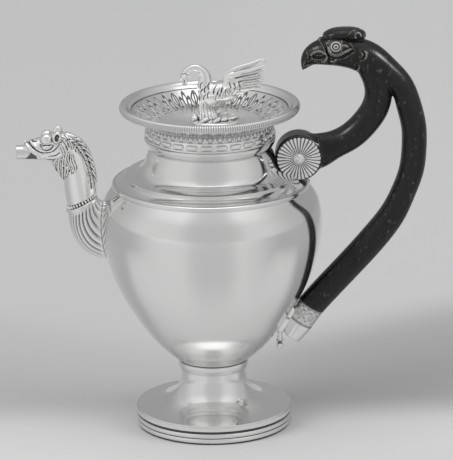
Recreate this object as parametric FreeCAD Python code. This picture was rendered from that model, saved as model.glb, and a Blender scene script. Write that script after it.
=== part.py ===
import FreeCAD, Part
import math
import os
from FreeCAD import Vector

# Silver coffee pot with a carved wooden handle. Millimetres, +Z up, origin at the centre of the foot's
# underside. The spout points to -X and the handle to +X, both in the plane Y = 0.

# Driving dimensions

# Sheet metal and joints
sheet = 1.0             # wall of the raised and spun silver
solder_gap = 0.03       # film of solder between two fixed pieces
casting_wall = 1.6      # wall of the cast silver of the spout

# Foot
foot_r = 49.2
foot_band_h = 11.4
foot_band_wall = 2.8
foot_reed_r = 1.6       # half height of each reed on the band
pedestal_h = 24.8
stem_r = 20.0
stem_collar_h = 6.3
stem_collar_r = 22.1

# Body, shoulder, neck and mouth
body_base_r = 22.3
body_max_r = 69.9
body_max_up = 89.0      # height of the widest girth above the body's base
body_h = 113.7
shoulder_r = 61.6
shoulder_h = 7.0
shoulder_bead = 0.6     # how far the band's lower bead stands proud of the body
shoulder_lip = 3.2      # height of that bead
neck_foot_r = 53.6
neck_r = 38.2
neck_h = 17.8
mouth_ring_r = 41.3
mouth_ring_h = 6.8
mouth_edge = 0.4        # rounding of the mouth ring's and flange's outer edges
strainer_hole_r = 1.5
strainer_sides = 8      # each hole is filed to this many flats
strainer_pitch = 5.2

# Spout
spout_up = 85.0         # height of the root's centre above the body's base
spout_collar_r = 10.8
spout_collar_t = 2.8
spout_bead_r = 1.15
spout_bead_count = 26
spout_spigot_r = 7.0
spout_spigot_wall = 1.0
spout_fit = 0.1         # clearance round the spigot and the pouring tube
tube_r = 4.35
tube_bore_r = 3.5
tube_reach = 3.4        # how far the pouring tube stands out of the muzzle
tube_len = 18.0

# Lid
seat_gap = 0.2          # rest gap between the lid's flange and the mouth ring
bezel_clear = 0.4       # radial play of the bezel in the neck
bezel_depth = 10.0
flange_t = 1.4
gallery_r = 39.6
gallery_h = 7.4
gallery_flare = 0.4     # spread of the gallery's foot
bead_count = 27
bead_h = 3.6
bead_out = 1.3
bead_notch = 1.4        # gap between two long beads
bead_back = 0.3         # strip that carries the beads
dish_rise = 9.9         # from the dish's floor to its edge
rim_in_r = 51.2
rim_r = 56.7
rim_h = 4.4

# Swan finial
swan_plinth_h = 2.6
swan_up = 18.6          # height of the swan's body centre above the dish's floor
wing_t = 1.8
stud_r = 1.6
stud_fit = 0.1
stud_len = 7.0
washer_r = 6.0
washer_t = 1.0
nut_r = 4.0
nut_t = 3.0

# Handle
hub_r = 14.8
hub_half = 8.6          # half thickness of the hub
hub_edge = 2.5          # rounding of the hub's edges
hub_out = 1.8           # hub centre beyond the neck's foot
hub_up = 11.8           # hub centre above the neck's foot
hub_scribe = 0.4        # play between the wood and the silver it is scribed to
grip_r = 7.9
grip_low_r = 8.7        # also the mouth of the socket
grip_reach = 72.3       # from the hub's centre to the middle of the outer bow
beak_clear = 1.6        # beak beyond the lid's rim
beak_up = 22.5          # beak tip above the rim's edge
tongue_r = 7.0
tongue_half = 2.0
tongue_fit = 0.25
pin_r = 1.6
pin_fit = 0.05
rosette_r = 13.6
rosette_t = 1.9
rosette_edge_t = 0.85   # thickness at the rosette's rim
rosette_flutes = 30
rosette_groove_r = 0.5
button_r = 2.7
button_h = 1.2
button_seat = 1.15      # height of the button's seat above the wood
pin_bite = 0.5          # how far the pin enters its nut
eye_r = 3.6
eye_sink = 2.6          # depth of the eye's seat in the wood
eye_proud = 0.5
eye_clear = 4.0         # how far the seat's drilling runs out through the wood

# Lower socket
socket_up = 33.4        # socket mouth above the body's base
socket_out = 11.4       # socket mouth beyond the body's wall
socket_lean = 58.5      # slope of the socket's axis, degrees from level
socket_band_len = 12.0
socket_band_t = 0.6
socket_joint_r = 7.9    # where the engraved band meets the plain cup
socket_cup_len = 12.0
socket_tip_r = 6.2
socket_tip_edge = 1.0   # rounding of the cup's end
socket_wall = 1.0
tenon_len = 13.0
tenon_fit = 0.1
web_half = 4.2          # half width of the bracket's web
pad_half = 6.3          # half width of the bracket's pad on the body
pad_t = 1.2
finial_ball_r = 2.2
finial_neck_r = 1.2
finial_drop = 9.8       # ball centre below the bracket
rivet_r = 1.0

# Levels and centres worked out from the driving dimensions
z_pedestal = foot_band_h
z_stem = z_pedestal + pedestal_h
z_base = z_stem + stem_collar_h
z_belly = z_base + body_max_up
z_shoulder = z_base + body_h
z_neck = z_shoulder + shoulder_h
z_mouth = z_neck + neck_h
z_seat = z_mouth + mouth_ring_h
z_lid = z_seat + seat_gap
z_gallery = z_lid + flange_t
z_floor = z_gallery + gallery_h
z_edge = z_floor + sheet + dish_rise
mouth_bore_r = neck_r - sheet
bezel_r = mouth_bore_r - bezel_clear
hub = Vector(neck_foot_r + hub_out, 0, z_neck + hub_up)
beak = Vector(rim_r + beak_clear, 0, z_edge + beak_up)

X = Vector(1, 0, 0)
Y = Vector(0, 1, 0)
Z = Vector(0, 0, 1)
ORIGIN = Vector(0, 0, 0)


# Helpers

def at(r, z):
    return Vector(r, 0, z)


def smooth(points):
    """Smooth curve through the points."""
    curve = Part.BSplineCurve()
    curve.interpolate(points)
    return curve


def outline(*pieces):
    """Closed face from curves and single points, joined in order by straight lines."""
    edges = []
    ends = []
    for piece in pieces:
        if isinstance(piece, Vector):
            ends.append((piece, piece, None))
        else:
            ends.append((piece.StartPoint, piece.EndPoint, piece.toShape()))
    for i, (start, end, edge) in enumerate(ends):
        if edge is not None:
            edges.append(edge)
        following = ends[(i + 1) % len(ends)][0]
        if following.distanceToPoint(end) > 1e-6:
            edges.append(Part.makeLine(end, following))
    return Part.Face(Part.Wire(edges))


def turned(face, centre=ORIGIN, axis=Z):
    return face.revolve(centre, axis, 360)


def bulge(start, through, end):
    return Part.Arc(start, through, end)


def inner_wall(points, wall, first, last):
    """Curve one wall inside the curve through the points, with its two ends given."""
    curve = smooth(points)
    inside = [first]
    for point in points[1:-1]:
        along = curve.tangent(curve.parameter(point))[0]
        inside.append(point + Vector(-along.z, 0, along.x) * wall)
    inside.append(last)
    return smooth(inside)


def oval(centre, across, wide):
    """Closed smooth ring with two half axes."""
    count = 12
    points = []
    for k in range(count):
        turn = 2 * math.pi * k / count
        points.append(centre + across * math.cos(turn) + wide * math.sin(turn))
    curve = Part.BSplineCurve()
    curve.interpolate(points, True)
    return Part.Wire(curve.toShape())


def limb(stations, first_across=None):
    """Loft through ovals square to the line of their centres. A station is x, z, half depth, half width."""
    rings = []
    for i, (x, z, deep, wide) in enumerate(stations):
        before = stations[max(i - 1, 0)]
        after = stations[min(i + 1, len(stations) - 1)]
        along = Vector(after[0] - before[0], 0, after[1] - before[1]).normalize()
        across = Vector(-along.z, 0, along.x)
        if i == 0 and first_across is not None:
            across = first_across
        rings.append(oval(at(x, z), across * deep, Y * wide))
    return Part.makeLoft(rings, True)


def moved(stations, centre):
    return [(centre.x + x, centre.z + z, deep, wide) for x, z, deep, wide in stations]


def ellipsoid(centre, half_x, half_y, half_z, lean=0):
    """Ball stretched along three axes, then leaned about Y, in degrees from level."""
    stretch = FreeCAD.Matrix()
    stretch.scale(half_x, half_y, half_z)
    ball = Part.makeSphere(1).transformGeometry(stretch)
    ball.rotate(ORIGIN, Y, -lean)
    ball.translate(centre)
    return ball


def plate(points, half, middle=0):
    """Flat piece cut to the outline in the XZ plane, with a half thickness about Y = middle."""
    corners = [Vector(p.x, middle - half, p.z) for p in points]
    face = Part.Face(Part.makePolygon(corners + corners[:1]))
    return face.extrude(Y * 2 * half)


def rod(start, end, radius):
    return Part.makeCylinder(radius, start.distanceToPoint(end), start, end - start)


def prism(start, axis, length, radius, sides):
    """Bar with flat sides along X or Z, with a corner radius."""
    across = Y if axis == X else X
    other = axis.cross(across)
    corners = []
    for k in range(sides):
        turn = 2 * math.pi * (k + 0.5) / sides
        corners.append(start + (across * math.cos(turn) + other * math.sin(turn)) * radius)
    return Part.Face(Part.makePolygon(corners + corners[:1])).extrude(axis * length)


def mirrored(solid):
    return solid.mirror(ORIGIN, Y)


# Outlines of revolution that other pieces seat on

def body_points(extra=0.0):
    """Outside of the body from its base to its shoulder, grown by an allowance."""
    lower = [(0, 0), (0.084, 0.183), (0.219, 0.405), (0.376, 0.6), (0.556, 0.788), (0.736, 0.912), (1, 1)]
    upper = [(0.3, 0.05), (0.71, 0.4), (1, 1)]
    points = []
    for up, out in lower:
        radius = body_base_r + out * (body_max_r - body_base_r)
        points.append(at(radius + extra, z_base + up * body_max_up))
    for up, drop in upper:
        radius = body_max_r - drop * (body_max_r - shoulder_r)
        points.append(at(radius + extra, z_belly + up * (z_shoulder - z_belly)))
    return points


def neck_points(extra=0.0):
    """Outside of the neck from the top of its foot to the mouth."""
    spread = neck_foot_r - neck_r
    shape = [(1, 0.05), (0.78, 0.085), (0.54, 0.15), (0.34, 0.29), (0.2, 0.52), (0.1, 0.8), (0, 1)]
    return [at(neck_r + out * spread + extra, z_neck + up * neck_h) for out, up in shape]


def body_filled(extra):
    skin = smooth(body_points(extra))
    return turned(outline(at(0, z_base), skin, at(0, z_shoulder)))


def neck_filled(extra):
    skin = smooth(neck_points(extra))
    foot = at(neck_foot_r + extra, z_shoulder)
    return turned(outline(at(0, z_shoulder), foot, skin, at(0, z_mouth)))


def band_filled(extra):
    lower = at(shoulder_r + shoulder_bead + extra, z_shoulder)
    upper = at(neck_foot_r + shoulder_bead + extra, z_neck + extra)
    edge = at(shoulder_r + shoulder_bead + extra, z_shoulder + shoulder_lip)
    return turned(outline(at(0, z_shoulder), lower, edge, upper, at(0, z_neck + extra)))


def body_radius(z):
    """Outside radius of the body at a height."""
    skin = smooth(body_points()).toShape()
    level = Part.makeLine(at(0, z), at(2 * body_max_r, z))
    return skin.distToShape(level)[1][0][0].x


# Foot

def foot_rim():
    inner = foot_r - foot_band_wall
    reed_depth = 0.6 * foot_reed_r
    root = foot_r - reed_depth
    lip = 0.5 * foot_reed_r
    edges = [at(inner, 0), at(root, 0)]
    level = lip
    edges.append(at(root, level))
    for _ in range(2):
        top = level + 2 * foot_reed_r
        edges.append(bulge(at(root, level), at(foot_r, level + foot_reed_r), at(root, top)))
        level = top
    edges.append(at(root, level + lip))
    edges.append(at(foot_r, level + 2 * lip))
    edges.append(at(foot_r, foot_band_h))
    edges.append(at(inner, foot_band_h))
    return turned(outline(*edges))


def foot_pedestal():
    flange_r = foot_r - 0.5 * sheet
    spread = flange_r - stem_r
    rise = pedestal_h - sheet
    shape = [(1, 0), (0.72, 0.05), (0.37, 0.18), (0.15, 0.40), (0.035, 0.70), (0, 1)]
    points = [at(stem_r + out * spread, z_pedestal + sheet + up * rise) for out, up in shape]
    inside_first = at(flange_r - foot_band_wall, z_pedestal)
    inside_last = at(stem_r - sheet, z_stem)
    inside = inner_wall(points, sheet, inside_first, inside_last)
    inside.reverse()
    return turned(outline(at(flange_r, z_pedestal), smooth(points), inside))


def stem_collar():
    waist = stem_r + 0.4 * (stem_collar_r - stem_r)
    swell = at(stem_collar_r, z_stem + 0.6 * stem_collar_h)
    wall = bulge(at(waist, z_stem), swell, at(stem_collar_r, z_base))
    return turned(outline(wall, at(stem_r - sheet, z_base), at(stem_r - sheet, z_stem)))


# Vessel

def strainer():
    """Drills for the pierced strainer behind the spout."""
    root = spout_root()
    spots = [(0, 0)]
    for ring in (1, 2):
        for k in range(6 * ring):
            turn = 2 * math.pi * k / (6 * ring)
            reach = ring * strainer_pitch
            spots.append((reach * math.cos(turn), reach * math.sin(turn)))
    drills = []
    for y, up in spots:
        start = Vector(root.x - strainer_pitch, y, root.z + up)
        drills.append(prism(start, X, 4 * strainer_pitch, strainer_hole_r, strainer_sides))
    return drills


def body_shell():
    points = body_points()
    first = at(body_base_r - sheet, z_base + sheet)
    last = at(shoulder_r - 1.6 * sheet, z_shoulder)
    inside = inner_wall(points, sheet, first, last)
    inside.reverse()
    skin = smooth(points)
    shell = turned(outline(at(0, z_base), skin, inside, at(0, z_base + sheet)))
    return shell.cut(strainer())


def shoulder_band():
    low_r = shoulder_r + shoulder_bead
    lip_r = shoulder_r - shoulder_bead
    seat_r = shoulder_r - 2 * sheet
    top_r = neck_foot_r + shoulder_bead
    bore = neck_foot_r - 2 * sheet
    lip = z_shoulder + shoulder_lip
    bead = bulge(at(shoulder_r, z_shoulder), at(low_r, 0.5 * (z_shoulder + lip)), at(lip_r, lip))
    hollow_mid = at(0.5 * (lip_r + top_r), lip + 0.22 * (z_neck - lip))
    hollow = bulge(at(lip_r - shoulder_bead, lip), hollow_mid, at(top_r, z_neck - sheet))
    inside = [at(bore, z_neck), at(bore, z_neck - 1.2 * sheet), at(seat_r, z_shoulder + sheet)]
    return turned(outline(bead, hollow, at(top_r, z_neck), *inside, at(seat_r, z_shoulder)))


def neck():
    points = neck_points()
    bore = neck_foot_r - sheet
    inside = inner_wall(points, sheet, at(bore, z_neck), at(mouth_bore_r, z_mouth))
    inside.reverse()
    return turned(outline(at(neck_foot_r, z_neck), smooth(points), inside))


def mouth_ring():
    lip = at(mouth_ring_r, z_seat - mouth_edge)
    middle = at(0.3 * neck_r + 0.7 * mouth_ring_r, z_mouth + 0.5 * mouth_ring_h)
    swell = bulge(at(neck_r, z_mouth), middle, lip)
    top = at(mouth_ring_r - mouth_edge, z_seat)
    return turned(outline(swell, top, at(mouth_bore_r, z_seat), at(mouth_bore_r, z_mouth)))


# Spout. Places are offsets from the centre of its root on the body's wall.

def spout_root():
    z = z_base + spout_up
    return at(-body_radius(z), z)


collar_back = at(-1.2, 20.5)
collar_front = at(-20.3, 11.6)
neck_along = Vector(-0.14, 0, 0.99).normalize()
collar_across = (collar_back - collar_front).normalize()
collar_axis = Vector(-collar_across.z, 0, collar_across.x)

# Back point, front point and half width of each oval of the fluted horn, from the root to the collar
horn_ovals = [
    (at(8.6, 18.6), at(8.6, -18.8), 9.8),
    (at(2.5, 19.2), at(-10.4, -12.8), 10.6),
    (at(0.0, 19.8), at(-18.5, 0.3), 10.6),
    (collar_back, collar_front, 10.3),
]

# Neck and head of the animal: x, z, half depth, half width
head_stations = [
    (-12.7, 30.3, 9.7, 9.4),
    (-14.5, 40.7, 9.1, 8.8),
    (-18.8, 49.6, 10.0, 8.8),
    (-26.3, 55.0, 10.1, 8.6),
    (-33.3, 54.6, 8.1, 7.6),
    (-39.8, 53.8, 6.6, 6.2),
    (-45.7, 53.2, 5.7, 5.6),
    (-48.5, 52.8, 4.7, 5.0),
]

# Bore of the neck, from the collar to the tube's seat
bore_stations = [
    (-12.7, 30.3, 6.6, 6.6),
    (-14.6, 40.2, 6.2, 6.2),
    (-19.2, 47.5, 5.4, 5.4),
    (-26.2, 52.0, 4.4, 4.4),
    (-33.2, 51.8, 3.9, 3.9),
]
tube_z = 51.8
muzzle_x = -48.5
mane_half = 1.3


def collar_centre(lift):
    """Centre of the slanted collar, lifted along the neck, measured square to the collar."""
    middle = (collar_back + collar_front) * 0.5
    return spout_root() + middle + neck_along * (lift / neck_along.dot(collar_axis))


def spout_base():
    root = spout_root()
    outside = []
    inside = []
    for back, front, wide in horn_ovals:
        centre = root + (back + front) * 0.5
        across = (back - front) * 0.5
        outside.append(oval(centre, across, Y * wide))
        thin = (across.Length - casting_wall) / across.Length
        inside.append(oval(centre, across * thin, Y * (wide - casting_wall)))
    horn = Part.makeLoft(outside, True)
    hollow = Part.makeLoft(inside, True)
    return horn.cut([hollow, body_filled(solder_gap)])


def collar_ring(face_r, lift, thick):
    """Slanted ring with a round edge, square to the collar's axis."""
    centre = collar_centre(lift)
    bore = spout_spigot_r + spout_fit
    ring = Part.makeCylinder(face_r, thick, centre, collar_axis)
    hole = rod(collar_centre(lift - thick), collar_centre(lift + 2 * thick), bore)
    return ring.cut(hole)


def spout_collar():
    ring = collar_ring(spout_collar_r, 0, spout_collar_t)
    circles = [e for e in ring.Edges if isinstance(e.Curve, Part.Circle)]
    rims = [e for e in circles if e.Curve.Radius > 0.5 * (spout_spigot_r + spout_collar_r)]
    return ring.makeFillet(0.3 * spout_collar_t, rims)


def spout_beads():
    thick = 2 * spout_bead_r
    lift = spout_collar_t
    centre_r = spout_collar_r - spout_bead_r - 0.2
    backing = collar_ring(centre_r, lift, thick)
    centre = collar_centre(lift) + collar_axis * spout_bead_r
    balls = []
    for k in range(spout_bead_count):
        turn = 2 * math.pi * k / spout_bead_count
        place = centre + (collar_across * math.cos(turn) + Y * math.sin(turn)) * centre_r
        balls.append(Part.makeSphere(spout_bead_r * 0.98, place))
    return backing.fuse(balls)


def animal_features(root):
    """Brows, ears, cheeks, hair and beard, for the side Y < 0."""
    return [
        ellipsoid(root + Vector(-32.4, -4.6, 60.2), 3.6, 3.0, 3.2, 0),
        ellipsoid(root + Vector(-24.7, -7.2, 61.1), 2.0, 1.8, 3.6, -20),
        ellipsoid(root + Vector(-20.6, -6.6, 56.5), 3.4, 3.0, 7.0, 25),
        ellipsoid(root + Vector(-22.9, -4.6, 42.3), 3.0, 3.0, 8.6, 12),
        ellipsoid(root + Vector(-18.0, -7.2, 44.0), 2.6, 2.4, 6.6, 8),
    ]


def mane(root):
    """Upright crest down the back of the neck."""
    ridge = [at(-23.2, 65.3), at(-14.7, 62.3), at(-8.5, 56.1), at(-4.3, 45.8), at(-1.9, 33.8), at(-1.7, 28.4)]
    buried = [at(-6.3, 29.6), at(-9.3, 45.5), at(-15.2, 55.3), at(-23.2, 60.9)]
    return plate([root + p for p in ridge + buried], mane_half)


def spout_head():
    root = spout_root()
    lift = spout_collar_t + 2 * spout_bead_r
    start = collar_centre(lift)
    offset = start - root
    first = (offset.x, offset.z) + head_stations[0][2:]
    head = limb(moved([first] + head_stations, root), collar_across)
    features = animal_features(root)
    features += [mirrored(f) for f in features]
    head = head.fuse(features + [mane(root)])
    gape = [at(muzzle_x - 8, 57.0), at(-37.0, 50.5), at(muzzle_x - 8, 47.4)]
    head = head.cut(plate([root + p for p in gape], 4 * tube_r))
    spigot_end = collar_centre(0)
    head = head.fuse(rod(spigot_end, collar_centre(lift + spout_bead_r), spout_spigot_r))
    below = collar_centre(-spout_collar_t)
    bore_r = spout_spigot_r - spout_spigot_wall
    bore = limb(moved([(offset.x, offset.z, bore_r, bore_r)] + bore_stations, root), collar_across)
    down = rod(below, collar_centre(lift + spout_bead_r), bore_r)
    tube_end = root + at(muzzle_x - tube_reach, tube_z)
    seat = rod(tube_end, tube_end + X * tube_len, tube_r + spout_fit)
    return head.cut([bore, down, seat])


def spout_tube():
    tip = spout_root() + at(muzzle_x - tube_reach, tube_z)
    end = tip + X * tube_len
    return rod(tip, end, tube_r).cut(rod(tip - X, end + X, tube_bore_r))


# Lid

def dish_under(r):
    """Height of the dish's underside beyond its floor."""
    corner = gallery_r - sheet
    return z_floor + max(0, r - corner) * dish_rise / (rim_in_r - corner)


def lid_bezel():
    wall = outline(at(bezel_r - sheet, z_seat - bezel_depth), at(bezel_r, z_seat - bezel_depth + sheet),
                   at(bezel_r, z_gallery), at(bezel_r - sheet, z_gallery))
    return turned(wall)


def lid_flange():
    bore = bezel_r + solder_gap
    edge_r = mouth_ring_r - mouth_edge
    middle = at(mouth_ring_r - 0.25 * mouth_edge, 0.5 * (z_lid + z_gallery))
    edge = bulge(at(edge_r, z_lid), middle, at(edge_r, z_gallery))
    return turned(outline(edge, at(bore, z_gallery), at(bore, z_lid)))


def lid_gallery():
    waist = at(gallery_r - 0.5 * gallery_flare, z_gallery + 0.6 * gallery_h)
    wall = bulge(at(gallery_r + gallery_flare, z_gallery), waist, at(gallery_r, dish_under(gallery_r)))
    corner = gallery_r - sheet
    bore = corner - gallery_flare
    return turned(outline(wall, at(corner, z_floor), at(bore, z_floor), at(bore, z_gallery)))


def lid_beads():
    """Ring of long rounded beads on the foot of the gallery."""
    back_r = gallery_r + gallery_flare + solder_gap
    face_r = back_r + bead_back
    foot = z_gallery + solder_gap
    crown = at(back_r + bead_out, foot + 0.5 * bead_h)
    round_face = bulge(at(face_r, foot), crown, at(face_r, foot + bead_h))
    ring = turned(outline(round_face, at(back_r, foot + bead_h), at(back_r, foot)))
    corner = Vector(face_r, -0.5 * bead_notch, foot - 0.5 * bead_h)
    notch = Part.makeBox(2 * bead_out, bead_notch, 2 * bead_h, corner)
    notches = []
    for k in range(bead_count):
        cut = notch.copy()
        cut.rotate(ORIGIN, Z, 360.0 * k / bead_count)
        notches.append(cut)
    return ring.cut(notches)


def lid_dish():
    corner = gallery_r - sheet
    edge_r = rim_in_r - solder_gap
    hole_r = stud_r + stud_fit
    under = [at(hole_r, z_floor), at(corner, z_floor), at(edge_r, dish_under(edge_r))]
    over = [at(edge_r, z_edge), at(corner - 0.6 * sheet, z_floor + sheet), at(hole_r, z_floor + sheet)]
    return turned(outline(*under, *over))


def lid_rim():
    low = z_edge - 0.55 * rim_h
    top = z_edge + 0.45 * rim_h
    middle_r = 0.5 * (rim_r + rim_in_r)
    round_face = bulge(at(rim_r - 0.2 * rim_h, low), at(rim_r, low + 0.4 * rim_h), at(middle_r, top))
    return turned(outline(round_face, at(rim_in_r, z_edge), at(rim_in_r, low + 0.1 * rim_h)))


# Swan finial. Places are heights above the dish's floor.

swan_body_half = Vector(13.0, 8.0, 7.0)
swan_body_x = 7.0
swan_lean = 8.0         # degrees that the body rises towards the tail
swan_tail_half = Vector(6.0, 5.0, 2.4)
swan_tail_x = 19.5
swan_tail_lean = 14.0
mound_half = Vector(17.0, 12.0, swan_plinth_h)
mound_x = 4.0
ball_foot_r = 2.4
ball_foot = Vector(-9.6, -2.0, ball_foot_r)

# Bundle of reeds under the swan: x, height, half depth, half width
swan_stalk = [
    (-1.5, 0.6, 6.4, 5.6),
    (-2.0, 8.0, 5.0, 4.6),
    (-0.6, swan_up, 5.0, 4.4),
]

# Neck, head and bill: x, height, half depth, half width
swan_neck = [
    (2.5, 17.0, 5.6, 5.2),
    (0.2, 24.0, 3.8, 3.6),
    (-1.4, 30.5, 2.5, 2.4),
    (-4.6, 34.2, 2.1, 2.0),
    (-9.4, 35.0, 2.0, 1.9),
    (-13.8, 32.8, 2.2, 2.1),
    (-15.4, 29.0, 2.9, 2.5),
    (-15.6, 25.8, 1.9, 1.7),
    (-15.0, 22.6, 0.7, 0.9),
]

# Outline of a raised wing: x, height
wing_outline = [
    (8.8, 16.4),
    (10.3, 27.5),
    (18.6, 33.0),
    (35.3, 37.2),
    (34.7, 32.1),
    (33.9, 28.6),
    (32.5, 24.4),
    (20.6, 19.0),
]
covert_half = Vector(7.0, 2.0, 5.5)
covert_place = at(14.3, 25.0)
covert_lean = 35.0
wing_splay = 9.0        # degrees that each wing opens away from the other
wing_in = 4.2           # distance of the wing's root from the middle plane


def floor_top():
    return at(0, z_floor + sheet)


def swan_core():
    centre = floor_top() + at(swan_body_x, swan_up)
    return ellipsoid(centre, swan_body_half.x, swan_body_half.y, swan_body_half.z, swan_lean)


def swan_base():
    top = floor_top()
    mound = ellipsoid(top + at(mound_x, 0), mound_half.x, mound_half.y, mound_half.z)
    stalk = limb(moved(swan_stalk, top))
    ball = Part.makeSphere(ball_foot_r, top + ball_foot)
    above = Part.makeCylinder(2 * mound_half.x, 2 * swan_up, top)
    base = mound.fuse([stalk, ball]).common(above)
    base = base.cut(swan_core())
    tapped = rod(top, top + Z * stud_len, stud_r)
    base = base.cut(tapped)
    return max(base.Solids, key=lambda s: s.Volume)


def swan_body():
    bird = swan_core().fuse(limb(moved(swan_neck, floor_top())))
    place = floor_top() + at(swan_tail_x, swan_up + 1)
    tail = ellipsoid(place, swan_tail_half.x, swan_tail_half.y, swan_tail_half.z, swan_tail_lean)
    return bird.fuse(tail)


def swan_wing():
    """Wing on the side Y < 0."""
    top = floor_top()
    feathers = plate([top + at(x, up) for x, up in wing_outline], 0.5 * wing_t, -wing_in)
    place = top + covert_place - Y * wing_in
    coverts = ellipsoid(place, covert_half.x, covert_half.y, covert_half.z, covert_lean)
    wing = feathers.fuse(coverts)
    wing.rotate(top + at(wing_outline[0][0], 0) - Y * wing_in, Z, -wing_splay)
    wing = wing.cut(swan_body())
    return max(wing.Solids, key=lambda s: s.Volume)


def swan_stud():
    top = z_floor + sheet
    return rod(at(0, z_floor - washer_t - nut_t - sheet), at(0, top + stud_len), stud_r)


def swan_washer():
    return turned(outline(at(stud_r + stud_fit, z_floor - washer_t), at(washer_r, z_floor - washer_t),
                          at(washer_r, z_floor), at(stud_r + stud_fit, z_floor)))


def swan_nut():
    """Hexagonal nut under the washer."""
    level = z_floor - washer_t - nut_t
    block = prism(at(0, level), Z, nut_t, nut_r, 6)
    return block.cut(rod(at(0, level - nut_t), at(0, z_floor), stud_r))


# Handle

def socket_mouth():
    z = z_base + socket_up
    return at(body_radius(z) + socket_out, z)


socket_axis = Vector(-math.cos(math.radians(socket_lean)), 0, -math.sin(math.radians(socket_lean)))

# Lower grip as offsets from the socket's mouth: x, z, half depth
grip_low = [(0, 0, grip_low_r), (5.9, 6.7, grip_low_r), (12.6, 14.0, grip_low_r), (25.9, 28.3, grip_low_r)]

# Bow as shares of the reach beside the hub, and heights above it: share, z, half depth
grip_bow = [
    (0.689, -51.3, grip_low_r),
    (0.821, -38.0, 0.5 * (grip_low_r + grip_r)),
    (0.905, -25.3, grip_r),
    (0.98, -9.5, grip_r),
    (1.0, 3.9, grip_r),
    (0.998, 17.0, grip_r),
    (0.956, 31.1, grip_r),
    (0.88, 45.3, grip_r - 0.2),
]

# Neck and head of the bird as offsets from the beak's tip: x, z, half depth, half width
bird_stations = [
    (51.1, -0.7, 9.0, 8.6),
    (39.6, 7.4, 10.4, 9.2),
    (26.0, 11.2, 9.7, 9.0),
    (13.3, 11.4, 8.3, 7.6),
    (5.3, 8.5, 5.6, 5.0),
    (1.3, 2.7, 2.2, 2.2),
    (0.4, 0.7, 0.9, 0.9),
]
eye_place = at(20.7, 16.3)
eye_side = 7.4          # distance of the eye's face from the middle plane
brow_half = Vector(7.0, 3.4, 5.0)

# Comb on the bird's head, the same way
crest_stations = [
    (13.7, 20.7, 2.0, 3.0),
    (15.7, 21.8, 3.4, 5.6),
    (21.1, 22.7, 3.9, 7.3),
    (26.9, 23.0, 3.9, 7.6),
    (33.3, 22.6, 3.7, 7.0),
    (37.8, 21.5, 3.0, 5.0),
    (39.6, 20.9, 1.6, 2.4),
]

# Horn that ties the bow to the hub, as offsets from the hub: x, z, half depth, half width
horn_stations = [
    (41.1, 61.9, 7.6, 7.0),
    (47.5, 51.3, 8.4, 7.8),
    (50.1, 40.5, 8.6, 8.2),
    (48.2, 30.5, 8.7, 8.4),
    (42.1, 20.9, 8.7, 8.4),
    (32.2, 11.5, 8.7, 8.4),
    (20.5, 5.6, 9.2, 8.4),
    (10.2, 2.0, 11.5, 8.2),
    (2.1, 1.0, 12.0, 8.0),
]


def tongue_blank(grow):
    """Flat tongue round the hub's pin and down to the shoulder, grown by an allowance."""
    half = tongue_half + grow
    reach = tongue_r + grow
    eye = rod(hub - Y * half, hub + Y * half, reach)
    foot = hub.z - z_shoulder
    corners = [at(-reach, 0), at(reach, 0), at(reach, -foot), at(-reach, -foot)]
    stem = plate([hub + corner for corner in corners], half)
    return eye.fuse(stem)


def pin_drill(radius):
    return rod(hub - Y * 2 * hub_half, hub + Y * 2 * hub_half, radius)


def wooden_hub():
    drum = rod(hub - Y * hub_half, hub + Y * hub_half, hub_r)
    rims = [e for e in drum.Edges if isinstance(e.Curve, Part.Circle)]
    return drum.makeFillet(hub_edge, rims)


def eye_disc(side, grow, proud):
    middle = beak + eye_place
    start = middle + Y * side * (eye_side - eye_sink)
    return rod(start, middle + Y * side * (eye_side + proud), eye_r + grow)


def brow(side):
    place = beak + eye_place + Y * side * (eye_side - brow_half.y)
    return ellipsoid(place, brow_half.x, brow_half.y, brow_half.z)


def tenon_radius():
    return socket_joint_r - socket_band_t - socket_wall - tenon_fit


def handle_wood():
    mouth = socket_mouth()
    low = [(x, z, deep, deep) for x, z, deep in grip_low]
    bow = [(share * grip_reach, z, deep, deep) for share, z, deep in grip_bow]
    course = moved(low, mouth) + moved(bow, hub) + moved(bird_stations, beak)
    branch = limb(course, Vector(socket_axis.z, 0, -socket_axis.x))
    horn = limb(moved(horn_stations, hub))
    crest = limb(moved(crest_stations, beak))
    tenon = rod(mouth + socket_axis * tenon_len, mouth - socket_axis * tenon_radius(), tenon_radius())
    wood = branch.fuse([horn, wooden_hub(), crest, brow(-1), brow(1), tenon])
    seats = [eye_disc(-1, pin_fit, eye_clear), eye_disc(1, pin_fit, eye_clear)]
    silver = [neck_filled(hub_scribe), band_filled(hub_scribe), body_filled(hub_scribe)]
    rivet = rivet_rod(rivet_r + pin_fit)
    wood = wood.cut([tongue_blank(tongue_fit), pin_drill(pin_r + pin_fit), rivet] + seats + silver)
    return max(wood.Solids, key=lambda s: s.Volume)


def eye_inlays():
    return Part.makeCompound([eye_disc(-1, 0, eye_proud), eye_disc(1, 0, eye_proud)])


def hub_bracket():
    tongue = tongue_blank(0).cut([neck_filled(solder_gap), band_filled(solder_gap)])
    tongue = tongue.cut(pin_drill(pin_r + pin_fit))
    return max(tongue.Solids, key=lambda s: s.Volume)


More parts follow.
